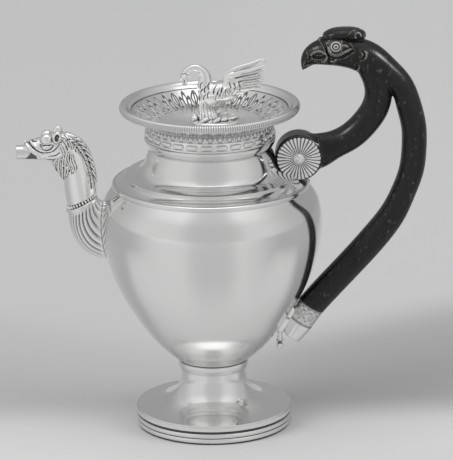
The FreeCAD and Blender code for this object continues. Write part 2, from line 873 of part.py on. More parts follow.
def rosette(side):
    """Fluted disc on one face of the hub; its axis is the hub's pin."""
    face = hub + Y * side * hub_half
    out = Y * side
    hole_r = pin_r + pin_fit
    shoulder = at(rosette_r - rosette_groove_r, 0.7 * rosette_t)
    dome = bulge(shoulder, at(0.6 * rosette_r, rosette_t), at(button_r, button_seat))
    rim = [at(rosette_r, 0), at(rosette_r, rosette_edge_t)]
    disc = turned(outline(at(hole_r, 0), *rim, dome, at(hole_r, button_seat)))
    inner = at(button_r + 2 * rosette_groove_r, 0.95 * rosette_t)
    outer = at(rosette_r + 2 * rosette_groove_r, 0.78 * rosette_t)
    groove = rod(inner, outer, rosette_groove_r)
    grooves = []
    for k in range(rosette_flutes):
        cut = groove.copy()
        cut.rotate(ORIGIN, Z, 360.0 * k / rosette_flutes)
        grooves.append(cut)
    disc = disc.cut(grooves)
    disc.rotate(ORIGIN, X, -90 * side)
    disc.translate(face)
    disc = disc.cut([neck_filled(hub_scribe), band_filled(hub_scribe)])
    return max(disc.Solids, key=lambda s: s.Volume)


def button(side):
    """Domed head on the hub's pin, seated in the middle of a rosette."""
    seat = hub + Y * side * (hub_half + button_seat)
    dome_r = (button_r ** 2 + button_h ** 2) / (2 * button_h)
    dome = Part.makeSphere(dome_r, seat + Y * side * (button_h - dome_r))
    return dome.common(rod(seat, seat + Y * side * 2 * button_h, button_r))


def hub_pin():
    reach = hub_half + button_seat
    return rod(hub - Y * reach, hub + Y * (reach + pin_bite), pin_r).fuse(button(-1))


def hub_nut():
    return button(1).cut(rod(hub, hub + Y * (hub_half + button_seat + pin_bite), pin_r))


# Lower socket

def socket_turned(*pieces):
    """Turning about the socket's axis. Points are radius and distance below the mouth."""
    solid = turned(outline(*pieces))
    solid.rotate(ORIGIN, Y, 270 - socket_lean)
    solid.translate(socket_mouth())
    return solid


def cup_end():
    """Outside of the cup from the band to the middle of its end."""
    end = socket_band_len + socket_cup_len
    corner = at(socket_tip_r, end - socket_tip_edge)
    middle = at(socket_tip_r - 0.3 * socket_tip_edge, end - 0.3 * socket_tip_edge)
    rounded = bulge(corner, middle, at(socket_tip_r - socket_tip_edge, end))
    return [at(socket_joint_r, socket_band_len), rounded, at(0, end)]


def socket_outside():
    """Whole outside of the socket and its band, as one filled turning."""
    return socket_turned(at(0, 0), at(grip_low_r, 0), *cup_end())


def handle_socket():
    hole_r = tenon_radius() + tenon_fit
    depth = tenon_len + tenon_fit
    sleeve = [at(grip_low_r - socket_band_t, 0), at(socket_joint_r - socket_band_t, socket_band_len)]
    socket = socket_turned(at(hole_r, 0), *sleeve, *cup_end(), at(0, depth), at(hole_r, depth))
    return socket.cut(rivet_rod(rivet_r + pin_fit))


def socket_band():
    wall = socket_band_t - solder_gap
    end = socket_band_len - solder_gap
    outer = [at(grip_low_r, 0), at(socket_joint_r, end)]
    inner = [at(socket_joint_r - wall, end), at(grip_low_r - wall, 0)]
    return socket_turned(*outer, *inner).cut(rivet_rod(rivet_r + pin_fit))


def rivet_rod(radius):
    middle = socket_mouth() + socket_axis * 0.5 * socket_band_len
    return rod(middle - Y * grip_low_r, middle + Y * grip_low_r, radius)


def socket_rivet():
    return rivet_rod(rivet_r).common(socket_outside())


def cup_corner():
    """Corner of the cup's end that faces the body."""
    tip = socket_mouth() + socket_axis * (socket_band_len + socket_cup_len - socket_tip_edge)
    return tip + Vector(socket_axis.z, 0, -socket_axis.x) * socket_tip_r


def socket_bracket():
    """Web between the body's wall and the socket, with a pad along the wall."""
    mouth = socket_mouth()
    corner = cup_corner()
    tip = mouth + socket_axis * (socket_band_len + socket_cup_len - socket_tip_edge)
    wall_high = at(body_radius(mouth.z), mouth.z)
    wall_low = at(body_radius(corner.z), corner.z)
    buried = X * 2 * pad_half
    web = plate([wall_high - buried, mouth + socket_axis, tip, corner, wall_low - buried], web_half)
    proud = X * pad_t
    pad = plate([wall_high + proud, wall_low + proud, wall_low - buried, wall_high - buried], pad_half)
    bracket = web.fuse(pad).cut([body_filled(solder_gap), socket_outside()])
    return max(bracket.Solids, key=lambda s: s.Volume)


def socket_finial():
    """Small ball drop under the bracket."""
    corner = cup_corner()
    top = at(0.5 * (body_radius(corner.z) + corner.x), corner.z)
    ball_centre = top - Z * finial_drop
    collar = rod(top, top - Z * finial_neck_r, 1.6 * finial_neck_r)
    stem = rod(top, ball_centre, finial_neck_r)
    return collar.fuse([stem, Part.makeSphere(finial_ball_r, ball_centre)])


# Every piece under the name of its node

wing_left = swan_wing()
PIECES = {
    "foot_rim": foot_rim(),
    "foot_pedestal": foot_pedestal(),
    "stem_collar": stem_collar(),
    "body_shell": body_shell(),
    "shoulder_band": shoulder_band(),
    "neck": neck(),
    "mouth_ring": mouth_ring(),
    "spout_base": spout_base(),
    "spout_collar": spout_collar(),
    "spout_beads": spout_beads(),
    "spout_head": spout_head(),
    "spout_tube": spout_tube(),
    "handle_wood": handle_wood(),
    "eye_inlays": eye_inlays(),
    "hub_bracket": hub_bracket(),
    "hub_pin": hub_pin(),
    "hub_nut": hub_nut(),
    "rosette_front": rosette(-1),
    "rosette_rear": rosette(1),
    "handle_socket": handle_socket(),
    "socket_band": socket_band(),
    "socket_rivet": socket_rivet(),
    "socket_bracket": socket_bracket(),
    "socket_finial": socket_finial(),
    "lid_bezel": lid_bezel(),
    "lid_flange": lid_flange(),
    "lid_gallery": lid_gallery(),
    "lid_beads": lid_beads(),
    "lid_dish": lid_dish(),
    "lid_rim": lid_rim(),
    "swan_base": swan_base(),
    "swan_body": swan_body(),
    "swan_wing_left": wing_left,
    "swan_wing_right": mirrored(wing_left),
    "swan_stud": swan_stud(),
    "swan_washer": swan_washer(),
    "swan_nut": swan_nut(),
}

os.makedirs("parts", exist_ok=True)
for name, shape in PIECES.items():
    shape.exportStep(f"parts/{name}.step")
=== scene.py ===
import math
import bpy
import numpy as np
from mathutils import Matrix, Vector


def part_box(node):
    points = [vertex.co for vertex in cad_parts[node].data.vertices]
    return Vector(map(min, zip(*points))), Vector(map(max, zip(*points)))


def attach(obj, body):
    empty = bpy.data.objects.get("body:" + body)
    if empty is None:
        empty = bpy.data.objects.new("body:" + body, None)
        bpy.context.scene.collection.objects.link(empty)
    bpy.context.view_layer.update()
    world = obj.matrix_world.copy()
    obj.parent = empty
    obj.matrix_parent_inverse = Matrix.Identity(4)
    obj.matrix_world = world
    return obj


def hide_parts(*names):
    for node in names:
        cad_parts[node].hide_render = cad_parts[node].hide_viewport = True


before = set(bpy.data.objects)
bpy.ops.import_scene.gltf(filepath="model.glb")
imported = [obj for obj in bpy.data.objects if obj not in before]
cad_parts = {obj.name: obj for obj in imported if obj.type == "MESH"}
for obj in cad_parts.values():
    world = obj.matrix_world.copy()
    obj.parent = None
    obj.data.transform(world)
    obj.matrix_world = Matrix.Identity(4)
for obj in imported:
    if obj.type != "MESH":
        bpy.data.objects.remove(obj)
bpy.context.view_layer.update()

import openvdb
from mathutils import Matrix, Vector

# Silver coffee pot with a bird-headed wooden handle. Lengths are millimetres in the part's frame, and metres
# in the studio at the end; MM turns the first into the second.
MM = 0.001
full_turn = 2 * math.pi
along_y = np.array([0, 1, 0])
side_view = np.array([1, 0, 1])             # drops Y from a place


# Places taken from the frame

def low(node):
    return np.array(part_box(node)[0]) / MM


def high(node):
    return np.array(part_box(node)[1]) / MM


def middle(node):
    return 0.5 * (low(node) + high(node))


sheet = 1.0                                 # wall of the silver
solder = 0.03                               # film between two soldered pieces
z_pedestal = high("foot_rim")[2]
z_stem = low("stem_collar")[2]
z_base = low("body_shell")[2]
z_shoulder = low("shoulder_band")[2]
z_neck = low("neck")[2]
z_mouth = low("mouth_ring")[2]
z_seat = high("mouth_ring")[2]
z_lid = low("lid_flange")[2]
z_gallery = low("lid_gallery")[2]
z_floor = low("lid_dish")[2]
z_edge = high("lid_dish")[2]
foot_r = high("foot_rim")[1]
stem_r = 20.0
stem_collar_r = high("stem_collar")[1]
body_base_r = 22.3
body_max_r = high("body_shell")[1]
body_max_up = 89.0                          # widest level, above the body's base
shoulder_r = 61.6
shoulder_bead = 0.6
shoulder_lip = 3.2
neck_foot_r = high("neck")[1]
neck_r = 38.2
mouth_ring_r = high("mouth_ring")[1]
gallery_r = 39.6
gallery_in_r = gallery_r - sheet
gallery_flare = 0.4
rim_in_r = high("lid_dish")[1] + solder
rim_r = 56.7

hub = middle("hub_pin") * side_view
hub_r = 14.8
hub_half = 8.6                              # half its width across Y
eye = middle("eye_inlays") * side_view
eye_r = 3.6
eye_deep = 3.0
eye_face = high("eye_inlays")[1]
beak = eye - np.array([20.7, 0, 16.3])
socket_lean = math.radians(58.5)
socket_axis = np.array([-math.cos(socket_lean), 0, -math.sin(socket_lean)])
socket_axes = np.array([(-socket_axis[2], 0, socket_axis[0]), along_y, socket_axis])
socket_band_len = 12.0
socket_mouth = middle("socket_rivet") - socket_axis * 0.5 * socket_band_len
spout_root = np.array([low("spout_tube")[0] + 51.9, 0, middle("spout_tube")[2] - 51.8])
swan_floor = np.array([0, 0, z_floor + sheet])


# Materials

class Shader:
    """Node tree of a material or of the world."""

    def __init__(self, owner):
        owner.use_nodes = True
        self.nodes = owner.node_tree.nodes
        self.links = owner.node_tree.links

    def feed(self, made, inputs):
        """Set a node's sockets to constants, or link them to outputs."""
        for key, value in inputs.items():
            if isinstance(value, bpy.types.NodeSocket):
                self.links.new(value, made.inputs[key])
            else:
                made.inputs[key].default_value = value

    def add(self, kind, inputs, **settings):
        made = self.nodes.new("ShaderNode" + kind)
        for key, value in settings.items():
            setattr(made, key, value)
        self.feed(made, inputs)
        return made.outputs

    def finish(self, inputs):
        self.feed(self.nodes["Principled BSDF"], inputs)

    def hollow(self):
        """Field of the hollows: above 0 in them, below 0 on edges."""
        return self.add("Attribute", {}, attribute_name="hollow")["Fac"]

    def noise(self, scale, detail, stretch=(1, 1, 1)):
        place = self.add("TexCoord", {})["Object"]
        spread = self.add("Mapping", {"Vector": place, "Scale": stretch})["Vector"]
        return self.add("TexNoise", {"Vector": spread, "Scale": scale, "Detail": detail})["Fac"]

    def ramp(self, value, span=(0, 1), levels=(0, 1), shape="LINEAR"):
        """Value carried from a span to two levels and held beyond them."""
        ends = dict(zip(("From Min", "From Max", "To Min", "To Max"), (*span, *levels)))
        return self.add("MapRange", {"Value": value, **ends}, interpolation_type=shape)["Result"]

    def smooth(self, value, span, levels=(0, 1)):
        return self.ramp(value, span, levels, "SMOOTHSTEP")

    def mix(self, share, first, second, kind="FLOAT"):
        return self.add("Mix", {"Factor": share, "A": first, "B": second}, data_type=kind)["Result"]

    def tint(self, share, first, second):
        return self.mix(share, first, second, "RGBA")

    def maths(self, operation, first, second):
        return self.add("Math", {0: first, 1: second}, operation=operation)["Value"]

    def bump(self, height, strength, distance):
        return self.add("Bump", {"Height": height, "Strength": strength, "Distance": distance})["Normal"]

    def parts(self, vector):
        return self.add("SeparateXYZ", {"Vector": vector})


def new_material(name):
    made = bpy.data.materials.new(name)
    return made, Shader(made)


def silver_material(name, rough, polish, tarnish_and_shade):
    """Polished silver, darker in the hollows where a piece has a hollow field: a little tarnish, mostly
    painted shade.
    """
    made, shader = new_material(name)
    shader.finish({"Base Color": shader.tint(shader.hollow(), polish, tarnish_and_shade),
                   "Metallic": 1.0,
                   "Roughness": shader.ramp(shader.noise(60, 4), levels=rough),
                   "Normal": shader.bump(shader.noise(45, 1), 0.05, 0.0006)})
    return made


def wood_material():
    """Ebonised wood with a straight fine grain, pale flecks, edges lightened as rubbed wear and painted
    highlight, painted shade in the carved hollows and a waxed sheen.
    """
    made, shader = new_material("dark_wood")
    hollow = shader.hollow()
    grain = shader.noise(160, 5, (1, 1, 0.06))
    pores = shader.noise(900, 2, (1, 1, 0.12))
    flecks = shader.ramp(shader.noise(420, 3, (1, 1, 0.55)), (0.62, 0.74))
    # rubbed wear and painted highlight on the carved edges
    wear_and_highlight = shader.ramp(hollow, (-0.30, -0.95))
    tone = shader.tint(grain, (0.003, 0.0029, 0.0028, 1), (0.012, 0.0117, 0.0114, 1))
    tone = shader.tint(flecks, tone, (0.055, 0.054, 0.052, 1))
    tone = shader.tint(wear_and_highlight, tone, (0.15, 0.147, 0.14, 1))
    # painted shade: the carved hollows go nearly black
    shader.finish({"Base Color": shader.tint(hollow, tone, (0.003, 0.003, 0.003, 1)),
                   "Roughness": shader.ramp(pores, levels=(0.20, 0.34)),
                   "Specular IOR Level": 0.22,
                   "Coat Weight": 0.2,
                   "Coat Roughness": 0.2,
                   "Normal": shader.bump(pores, 0.10, 0.0003)})
    return made


def bone_material():
    """Bone with dark turned rings."""
    made, shader = new_material("bone")
    shader.finish({"Base Color": shader.tint(shader.hollow(), (0.50, 0.49, 0.46, 1), (0.02, 0.02, 0.02, 1)),
                   "Roughness": shader.ramp(shader.noise(700, 3), levels=(0.22, 0.38))})
    return made


# The last colour of each silver is the grey of its hollows: tarnish and painted shade.
polished = silver_material("silver_polished", (0.10, 0.14), (0.85, 0.85, 0.845, 1), (0.10, 0.10, 0.10, 1))
worked = silver_material("silver_worked", (0.13, 0.20), (0.93, 0.93, 0.925, 1), (0.05, 0.05, 0.05, 1))
dark_wood = wood_material()
bone = bone_material()


# Building meshes

def facing_out(points, faces):
    """Faces of a closed mesh, turned over where they enclose it inside out."""
    a, b, c, d = (points[faces[:, k]].astype(float) for k in range(4))
    volume = np.sum(a * (np.cross(b, c) + np.cross(c, d)))
    return faces if volume > 0 else np.ascontiguousarray(faces[:, ::-1])


def piece(name, node, points, faces, material=polished, slot="silver", crease=35, hollow=None):
    """Mesh in millimetres that stands for a CAD node and rides on its body."""
    mesh = bpy.data.meshes.new(name)
    points = np.asarray(points, np.float32) * MM
    faces = facing_out(points, np.asarray(faces, np.int32))
    mesh.vertices.add(len(points))
    mesh.vertices.foreach_set("co", points.ravel())
    mesh.loops.add(faces.size)
    mesh.loops.foreach_set("vertex_index", faces.ravel())
    mesh.polygons.add(len(faces))
    mesh.polygons.foreach_set("loop_start", np.arange(len(faces), dtype=np.int32) * faces.shape[1])
    mesh.update(calc_edges=True)
    mesh.validate()
    mesh.shade_smooth()
    if crease:
        mesh.set_sharp_from_angle(angle=math.radians(crease))
    if hollow is not None:
        field = mesh.attributes.new("hollow", "FLOAT", "POINT")
        field.data.foreach_set("value", np.clip(np.asarray(hollow, np.float32), -1, 1).ravel())
    mesh.materials.append(material)
    made = bpy.data.objects.new(name, mesh)
    bpy.context.scene.collection.objects.link(made)
    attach(made, "lid" if node.startswith(("lid_", "swan_")) else "pot")
    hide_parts(node)
    return made


def ease(x):
    """Smooth step from 0 to 1."""
    x = np.clip(x, 0, 1)
    return x * x * (3 - 2 * x)


def circle(count):
    """Angles of a ring of points."""
    return np.arange(count) * full_turn / count


def spline(points, count, lengths=2):
    """Natural cubic curve through rows; the first columns set its pace, the others follow."""
    p = np.array(points, float)
    steps = np.linalg.norm(np.diff(p[:, :lengths], axis=0), axis=1)
    t = np.concatenate([[0], np.cumsum(steps)])
    n = len(p)
    system = np.zeros((n, n))
    right = np.zeros_like(p)
    system[0, 0] = system[-1, -1] = 1
    for i in range(1, n - 1):
        a, b = t[i] - t[i - 1], t[i + 1] - t[i]
        system[i, i - 1:i + 2] = a, 2 * (a + b), b
        right[i] = 6 * ((p[i + 1] - p[i]) / b - (p[i] - p[i - 1]) / a)
    bend = np.linalg.solve(system, right)
    s = np.linspace(0, t[-1], count)
    k = np.clip(np.searchsorted(t, s, "right") - 1, 0, n - 2)
    h = (t[k + 1] - t[k])[:, None]
    u = (s - t[k])[:, None]
    w = h - u
    curve = bend[k] * w ** 3 / (6 * h) + bend[k + 1] * u ** 3 / (6 * h)
    return curve + (p[k] / h - bend[k] * h / 6) * w + (p[k + 1] / h - bend[k + 1] * h / 6) * u


def arc(start, through, end, count):
    """Circle through three (radius, z) points, from the first to the last."""
    a, b, c = (complex(*point) for point in (start, through, end))
    ratio = (c - a) / (b - a)
    centre = a + (b - a) * (ratio - abs(ratio) ** 2) / (2j * ratio.imag)
    arm = a - centre
    turn = np.angle((c - centre) / arm) % full_turn
    if np.angle((b - centre) / arm) % full_turn > turn:
        turn -= full_turn
    points = centre + arm * np.exp(1j * np.linspace(0, turn, count))
    return np.stack([points.real, points.imag], 1)


def rows(*parts):
    """One array of (radius, z) rows from single points and lists."""
    return np.vstack(parts)


def grid_faces(steps, sides, closed=True):
    """Quads of rings in a row, with the last ring joined to the first when closed."""
    a, b = np.meshgrid(np.arange(steps if closed else steps - 1), np.arange(sides), indexing="ij")
    a2, b2 = (a + 1) % steps, (b + 1) % sides
    return np.stack([a * sides + b, a * sides + b2, a2 * sides + b2, a2 * sides + b], -1).reshape(-1, 4)


def capped_faces(steps, sides):
    """Quads of a tube that is closed at both ends."""
    k = np.arange(sides // 2 - 1)
    cap = np.stack([k, sides - 1 - k, sides - 2 - k, k + 1], -1)
    far_cap = (cap + (steps - 1) * sides)[:, ::-1]
    return np.concatenate([grid_faces(steps, sides, False), cap, far_cap])


def repeated(faces, count, size):
    """Faces of a number of like meshes with size points each."""
    return (faces + size * np.arange(count)[:, None, None]).reshape(-1, 4)


def turned(profile, turns, lift=0.0):
    """Surface of revolution about Z, raised along its own normal by lift."""
    along = np.gradient(profile, axis=0)
    along /= np.maximum(np.linalg.norm(along, axis=1, keepdims=True), 1e-9)
    lift = np.broadcast_to(lift, (len(profile), turns))
    angle = circle(turns)
    r = profile[:, :1] + lift * along[:, 1:]
    z = profile[:, 1:] - lift * along[:, :1]
    points = np.stack([r * np.cos(angle), r * np.sin(angle), z], -1).reshape(-1, 3)
    return points, grid_faces(len(profile), turns)


def turned_piece(name, node, profile, turns=256, lift=0.0, hollow=None, place=0, axes=np.eye(3), **finish):
    """Turning set on its axes at a place; its hollow field is given for each row or each point."""
    points, faces = turned(profile, turns, lift)
    if hollow is not None:
        hollow = np.broadcast_to(np.reshape(hollow, (len(profile), -1)), (len(profile), turns))
    piece(name, node, points @ axes + place, faces, hollow=hollow, **finish)


def offset(curve, wall):
    """Curve moved to its left by a wall."""
    along = np.gradient(curve, axis=0)
    along /= np.linalg.norm(along, axis=1, keepdims=True)
    return curve + np.stack([-along[:, 1], along[:, 0]], 1) * wall


# Foot, body and neck

def foot_rim():
    inner = foot_r - 2.8
    root = foot_r - 0.96
    reed = 1.6
    reeds = []
    level = 0.5 * reed
    for _ in range(2):
        reeds = [*reeds[:-1], *arc((root, level), (foot_r, level + reed), (root, level + 2 * reed), 14)]
        level += 2 * reed
    top = [(root, level + 0.5 * reed), (foot_r, level + reed), (foot_r, z_pedestal)]
    profile = rows((inner, 0), (root, 0), reeds, top, (inner, z_pedestal))
    depth = (foot_r - profile[:, 0]) / (foot_r - root)
    # painted shade: darker deep in the grooves between the reeds
    turned_piece("foot_rim_reeded", "foot_rim", profile, hollow=ease((depth - 0.35) / 0.65))


def foot_pedestal():
    flange = foot_r - 0.5 * sheet
    shape = [(1, 0), (0.72, 0.05), (0.37, 0.18), (0.15, 0.40), (0.035, 0.70), (0, 1)]
    start = z_pedestal + sheet
    skin = spline([(stem_r + out * (flange - stem_r), start + up * (z_stem - start)) for out, up in shape], 60)
    inside = offset(skin, sheet)[3:]
    inside[-1] = stem_r - sheet, z_stem
    foot = [(flange, z_pedestal), (flange, z_pedestal + 0.6 * sheet)]
    turned_piece("foot_pedestal_spun", "foot_pedestal",
                 rows(foot, skin, inside[::-1], (flange - 2.8, z_pedestal)))


def stem_collar():
    waist = stem_r + 0.4 * (stem_collar_r - stem_r)
    bulge = z_stem + 0.6 * (z_base - z_stem)
    swell = arc((waist, z_stem), (stem_collar_r, bulge), (stem_collar_r, z_base), 24)
    profile = rows(swell, (stem_r - sheet, z_base), (stem_r - sheet, z_stem))
    turned_piece("stem_collar_turned", "stem_collar", profile,
                 hollow=ease((profile[:, 1] - z_base + 0.9) / 0.6))


def body_curve():
    lower = [(0, 0), (0.084, 0.183), (0.219, 0.405), (0.376, 0.6), (0.556, 0.788), (0.736, 0.912), (1, 1)]
    upper = [(0.3, 0.05), (0.71, 0.4), (1, 1)]
    belly = z_base + body_max_up
    points = [(body_base_r + out * (body_max_r - body_base_r), z_base + up * body_max_up) for up, out in lower]
    points += [(body_max_r - drop * (body_max_r - shoulder_r), belly + up * (z_shoulder - belly))
               for up, drop in upper]
    return spline(points, 150)


def body_radius(z):
    curve = body_curve()
    return np.interp(z, curve[:, 1], curve[:, 0])


def body_shell():
    pole = 0.05                             # the base closes at a pinhole on the axis
    skin = body_curve()
    inside = offset(skin, sheet)[1:]
    inside[-1, 1] = z_shoulder
    base = [(pole, z_base), (body_base_r - 0.2, z_base)]
    turned_piece("body_raised", "body_shell", rows(base, skin, inside[::-1], (pole, z_base + sheet)), 320)


def shoulder_band():
    lip = z_shoulder + shoulder_lip
    lip_r = shoulder_r - shoulder_bead
    top_r = neck_foot_r + shoulder_bead
    bead_mid = (shoulder_r + shoulder_bead, 0.5 * (z_shoulder + lip))
    bead = arc((shoulder_r, z_shoulder), bead_mid, (lip_r, lip), 14)
    cove_mid = (0.5 * (lip_r + top_r), lip + 0.22 * (z_neck - lip))
    cove = arc((lip_r - shoulder_bead, lip), cove_mid, (top_r, z_neck - sheet), 16)
    bore = neck_foot_r - 2 * sheet
    wall = shoulder_r - 2 * sheet
    inside = [(bore, z_neck), (bore, z_neck - 1.2 * sheet), (wall, z_shoulder + sheet), (wall, z_shoulder)]
    profile = rows(bead, cove, (top_r, z_neck), inside)
    # painted shade in the crease between the lip and the cove
    crease = ease(1.6 - 4 * np.hypot(profile[:, 0] - lip_r + shoulder_bead, profile[:, 1] - lip))
    turned_piece("shoulder_band_moulded", "shoulder_band", profile, hollow=0.35 * crease)


def neck_curve():
    shape = [(1, 0.05), (0.78, 0.085), (0.54, 0.15), (0.34, 0.29), (0.2, 0.52), (0.1, 0.8), (0, 1)]
    tall = z_mouth - z_neck
    return spline([(neck_r + out * (neck_foot_r - neck_r), z_neck + up * tall) for out, up in shape], 50)


def neck():
    skin = neck_curve()
    inside = offset(skin, sheet)
    inside[0] = neck_foot_r - sheet, z_neck
    inside[-1] = neck_r - sheet, z_mouth
    turned_piece("neck_waisted", "neck", rows((neck_foot_r, z_neck), skin, inside[::-1]))


def mouth_ring():
    edge = 0.4
    bore = neck_r - sheet
    swell_mid = (0.3 * neck_r + 0.7 * mouth_ring_r, 0.5 * (z_mouth + z_seat))
    swell = arc((neck_r, z_mouth), swell_mid, (mouth_ring_r, z_seat - edge), 16)
    turned_piece("mouth_ring_turned", "mouth_ring",
                 rows(swell, (mouth_ring_r - edge, z_seat), (bore, z_seat), (bore, z_mouth)))


# Lid

def dish_under(r):
    """Level of the dish's underside at a radius."""
    return z_floor + max(0, r - gallery_in_r) * (z_edge - z_floor - sheet) / (rim_in_r - gallery_in_r)


def lid_flange():
    edge_r = mouth_ring_r - 0.4
    edge = arc((edge_r, z_lid), (mouth_ring_r - 0.1, 0.5 * (z_lid + z_gallery)), (edge_r, z_gallery), 10)
    bore = high("lid_bezel")[1] + solder
    turned_piece("lid_flange_turned", "lid_flange", rows(edge, (bore, z_gallery), (bore, z_lid)))


def palmette(u, v):
    """Height of a fan of lobes, with u across from -1 to 1 and v up from 0 to 1."""
    fan = np.arctan2(u * 0.9, v + 0.12)
    reach = np.hypot(u * 0.9, v + 0.12)
    lobes = 0.5 + 0.5 * np.cos(9 * fan)
    tips = 0.86 + 0.16 * lobes - 0.20 * np.abs(fan)
    inside = ease((tips - reach) / 0.08) * ease((1.35 - np.abs(fan)) / 0.12)
    heart = ease((0.26 - reach) / 0.08)
    return np.maximum(inside * (0.15 + 0.85 * lobes), heart)


def bud(u, v):
    """Height of a narrow pointed bud on a stalk."""
    wide = 0.46 * np.sin(np.pi * np.clip((v - 0.20) / 0.74, 0, 1)) + 0.035
    vein = ease(np.abs(u) / 0.10)
    return vein * ease((wide - np.abs(u)) / 0.12) * ease(v / 0.1) * ease((0.97 - v) / 0.05)


def across_repeat(angle, count, shift=0.0):
    """Place across each of a ring's repeats, from -1 to 1."""
    place = angle * count / full_turn + shift
    return 2 * (place - np.floor(place)) - 1


def frieze(angle, v, count):
    """Palmettes and buds by turns round the pot; v runs up the band."""
    leaf = palmette(across_repeat(angle, count) * 1.1, v)
    between = bud(across_repeat(angle, count, 0.5) * 1.5, v)
    return np.maximum(leaf, between) * ease(v / 0.05) * ease((1 - v) / 0.05)


def sprays(angle, v, count):
    """Engraved lines of leaf sprays with a pointed leaf between each two; v runs up the band."""
    u = across_repeat(angle, count)
    fan = np.arctan2(u, v + 0.10)
    reach = np.hypot(u, v + 0.10)
    blades = np.abs(np.cos(5.5 * fan))
    tips = 0.76 + 0.24 * blades - 0.14 * np.abs(fan)
    inside = ease((tips - reach) / 0.04)
    veins = inside * ease((0.65 - blades) / 0.4) * ease((reach - 0.26) / 0.08)
    outline = ease(1.3 - np.abs(reach - tips) / 0.08)
    heart = ease(1.3 - np.abs(reach - 0.24) / 0.07)
    w = 1 - np.abs(u)
    wide = 0.28 * np.sin(np.pi * np.clip((v - 0.34) / 0.62, 0, 1))
    leaf = ease(1.3 - np.abs(w - wide) / 0.07) * ease((v - 0.34) / 0.05) * ease((0.98 - v) / 0.05)
    middle_vein = ease(1.3 - w / 0.06) * ease((v - 0.2) / 0.05) * ease((0.9 - v) / 0.05)
    lines = np.maximum.reduce([veins, outline, heart, leaf, middle_vein])
    return lines * ease(v / 0.06) * ease((1 - v) / 0.04)


def lid_gallery():
    turns = 1056
    palmettes = 40
    plain_rows = 24                         # rows of the wall below the frieze
    waist = (gallery_r - 0.5 * gallery_flare, z_gallery + 0.6 * (z_floor - z_gallery))
    wall = arc((gallery_r + gallery_flare, z_gallery), waist, (gallery_r, dish_under(gallery_r)), 48)
    lining = gallery_in_r - gallery_flare
    profile = rows(wall, (gallery_in_r, z_floor), (lining, z_floor), (lining, z_gallery))
    v = (np.arange(len(profile))[:, None] - plain_rows) / (len(wall) - plain_rows)
    band = (v > 0) & (v < 1)
    lift = 0.30 * band * frieze(circle(turns), np.clip(v, 0, 1), palmettes)
    # painted shade on the frieze's ground between its raised leaves
    turned_piece("lid_gallery_chased", "lid_gallery", profile, turns, lift, band * (0.60 - 2.0 * lift),
                 material=worked)


def lid_dish():
    """Dish of the lid, chased inside below a plain band and outside next to the gallery."""
    turns = 1680
    inner_sprays = 21
    outer_palmettes = 56
    hole = 1.7                              # for the swan's stud
    chase_r = 32.0
    edge_r = rim_in_r - solder
    under = np.linspace((gallery_in_r, z_floor), (edge_r, dish_under(edge_r)), 64)
    across = np.concatenate([np.linspace(edge_r, chase_r, 110), np.linspace(chase_r - 1, hole, 12)])
    corner = gallery_in_r - 0.6 * sheet
    rise = (across - corner) * (z_edge - z_floor - sheet) / (edge_r - corner)
    over_z = z_floor + sheet + 0.5 * (rise + np.hypot(rise, 1.8))
    profile = rows((hole, z_floor), under, np.stack([across, np.minimum(over_z, z_edge)], 1))
    radius = profile[:, :1]
    row = np.arange(len(profile))[:, None]
    inner = row > len(under)
    v = np.where(inner, (radius - chase_r) / (0.86 * (edge_r - chase_r)), -1)
    w = np.where(~inner & (row > 0), (radius - gallery_in_r) / (0.42 * (edge_r - gallery_in_r)), -1)
    on_v = (v >= 0) & (v <= 1)
    on_w = (w >= 0) & (w <= 1)
    angle = circle(turns)
    edge_line = inner * ease(1.5 - np.abs(radius - edge_r + 2.2) / 0.3)
    cut = np.maximum(sprays(angle, np.clip(v, 0, 1), inner_sprays) * on_v, edge_line)
    raised = frieze(angle, np.clip(w, 0, 1), outer_palmettes) * on_w
    # painted shade: greyer over the engraved zone, dark in its cut lines and the line near the edge, and on
    # the ground of the outer frieze
    shade = 0.12 * on_v + 0.80 * cut + 0.42 * on_w * (1 - raised)
    turned_piece("lid_dish_chased", "lid_dish", profile, turns, 0.30 * raised - 0.55 * cut, shade,
                 material=worked)


def lid_rim():
    ribs = 236
    turns = ribs * 9
    deep = 0.36
    base, top = low("lid_rim")[2], high("lid_rim")[2]
    tall = top - base
    inner_top = (0.5 * (rim_r + rim_in_r), top)
    round_face = arc((rim_r - 0.2 * tall, base), (rim_r, base + 0.4 * tall), inner_top, 26)
    profile = rows(round_face, (rim_in_r, z_edge), (rim_in_r, base + 0.1 * tall))
    share = np.arange(len(profile))[:, None] / (len(round_face) - 1)
    fade = (share <= 1) * ease(share / 0.12) * ease((1.0 - share) / 0.25)
    cut = deep * fade * (1 - np.abs(np.cos(0.5 * ribs * circle(turns))) ** 0.7)
    # painted shade in the grooves between the gadroons
    turned_piece("lid_rim_gadrooned", "lid_rim", profile, turns, -cut, 2.4 * cut, crease=0)


def lid_beads():
    """Row of long beads that lean outwards."""
    count, steps, sides = 27, 25, 14
    bead_h = 3.6
    thick, tall = 0.95, 0.44 * bead_h
    lean = math.radians(14)
    s = np.linspace(-1, 1, steps)[:, None]
    turn = circle(sides)
    swell = np.sqrt(np.maximum(1 - np.abs(s) ** 5, 1e-4))
    out = swell * (thick * np.cos(turn) * math.cos(lean) - tall * np.sin(turn) * math.sin(lean))
    up = swell * (thick * np.cos(turn) * math.sin(lean) + tall * np.sin(turn) * math.cos(lean))
    r = gallery_r + gallery_flare + 0.1 + out
    z = low("lid_beads")[2] + 0.5 * bead_h + up
    angle = (np.arange(count)[:, None, None] + 0.43 * s) * full_turn / count
    points = np.stack([r * np.cos(angle), r * np.sin(angle), z + 0 * angle], -1)
    faces = repeated(capped_faces(steps, sides), count, steps * sides)
    piece("lid_beads_long", "lid_beads", points.reshape(-1, 3), faces, crease=0)


# Hub and socket of the handle

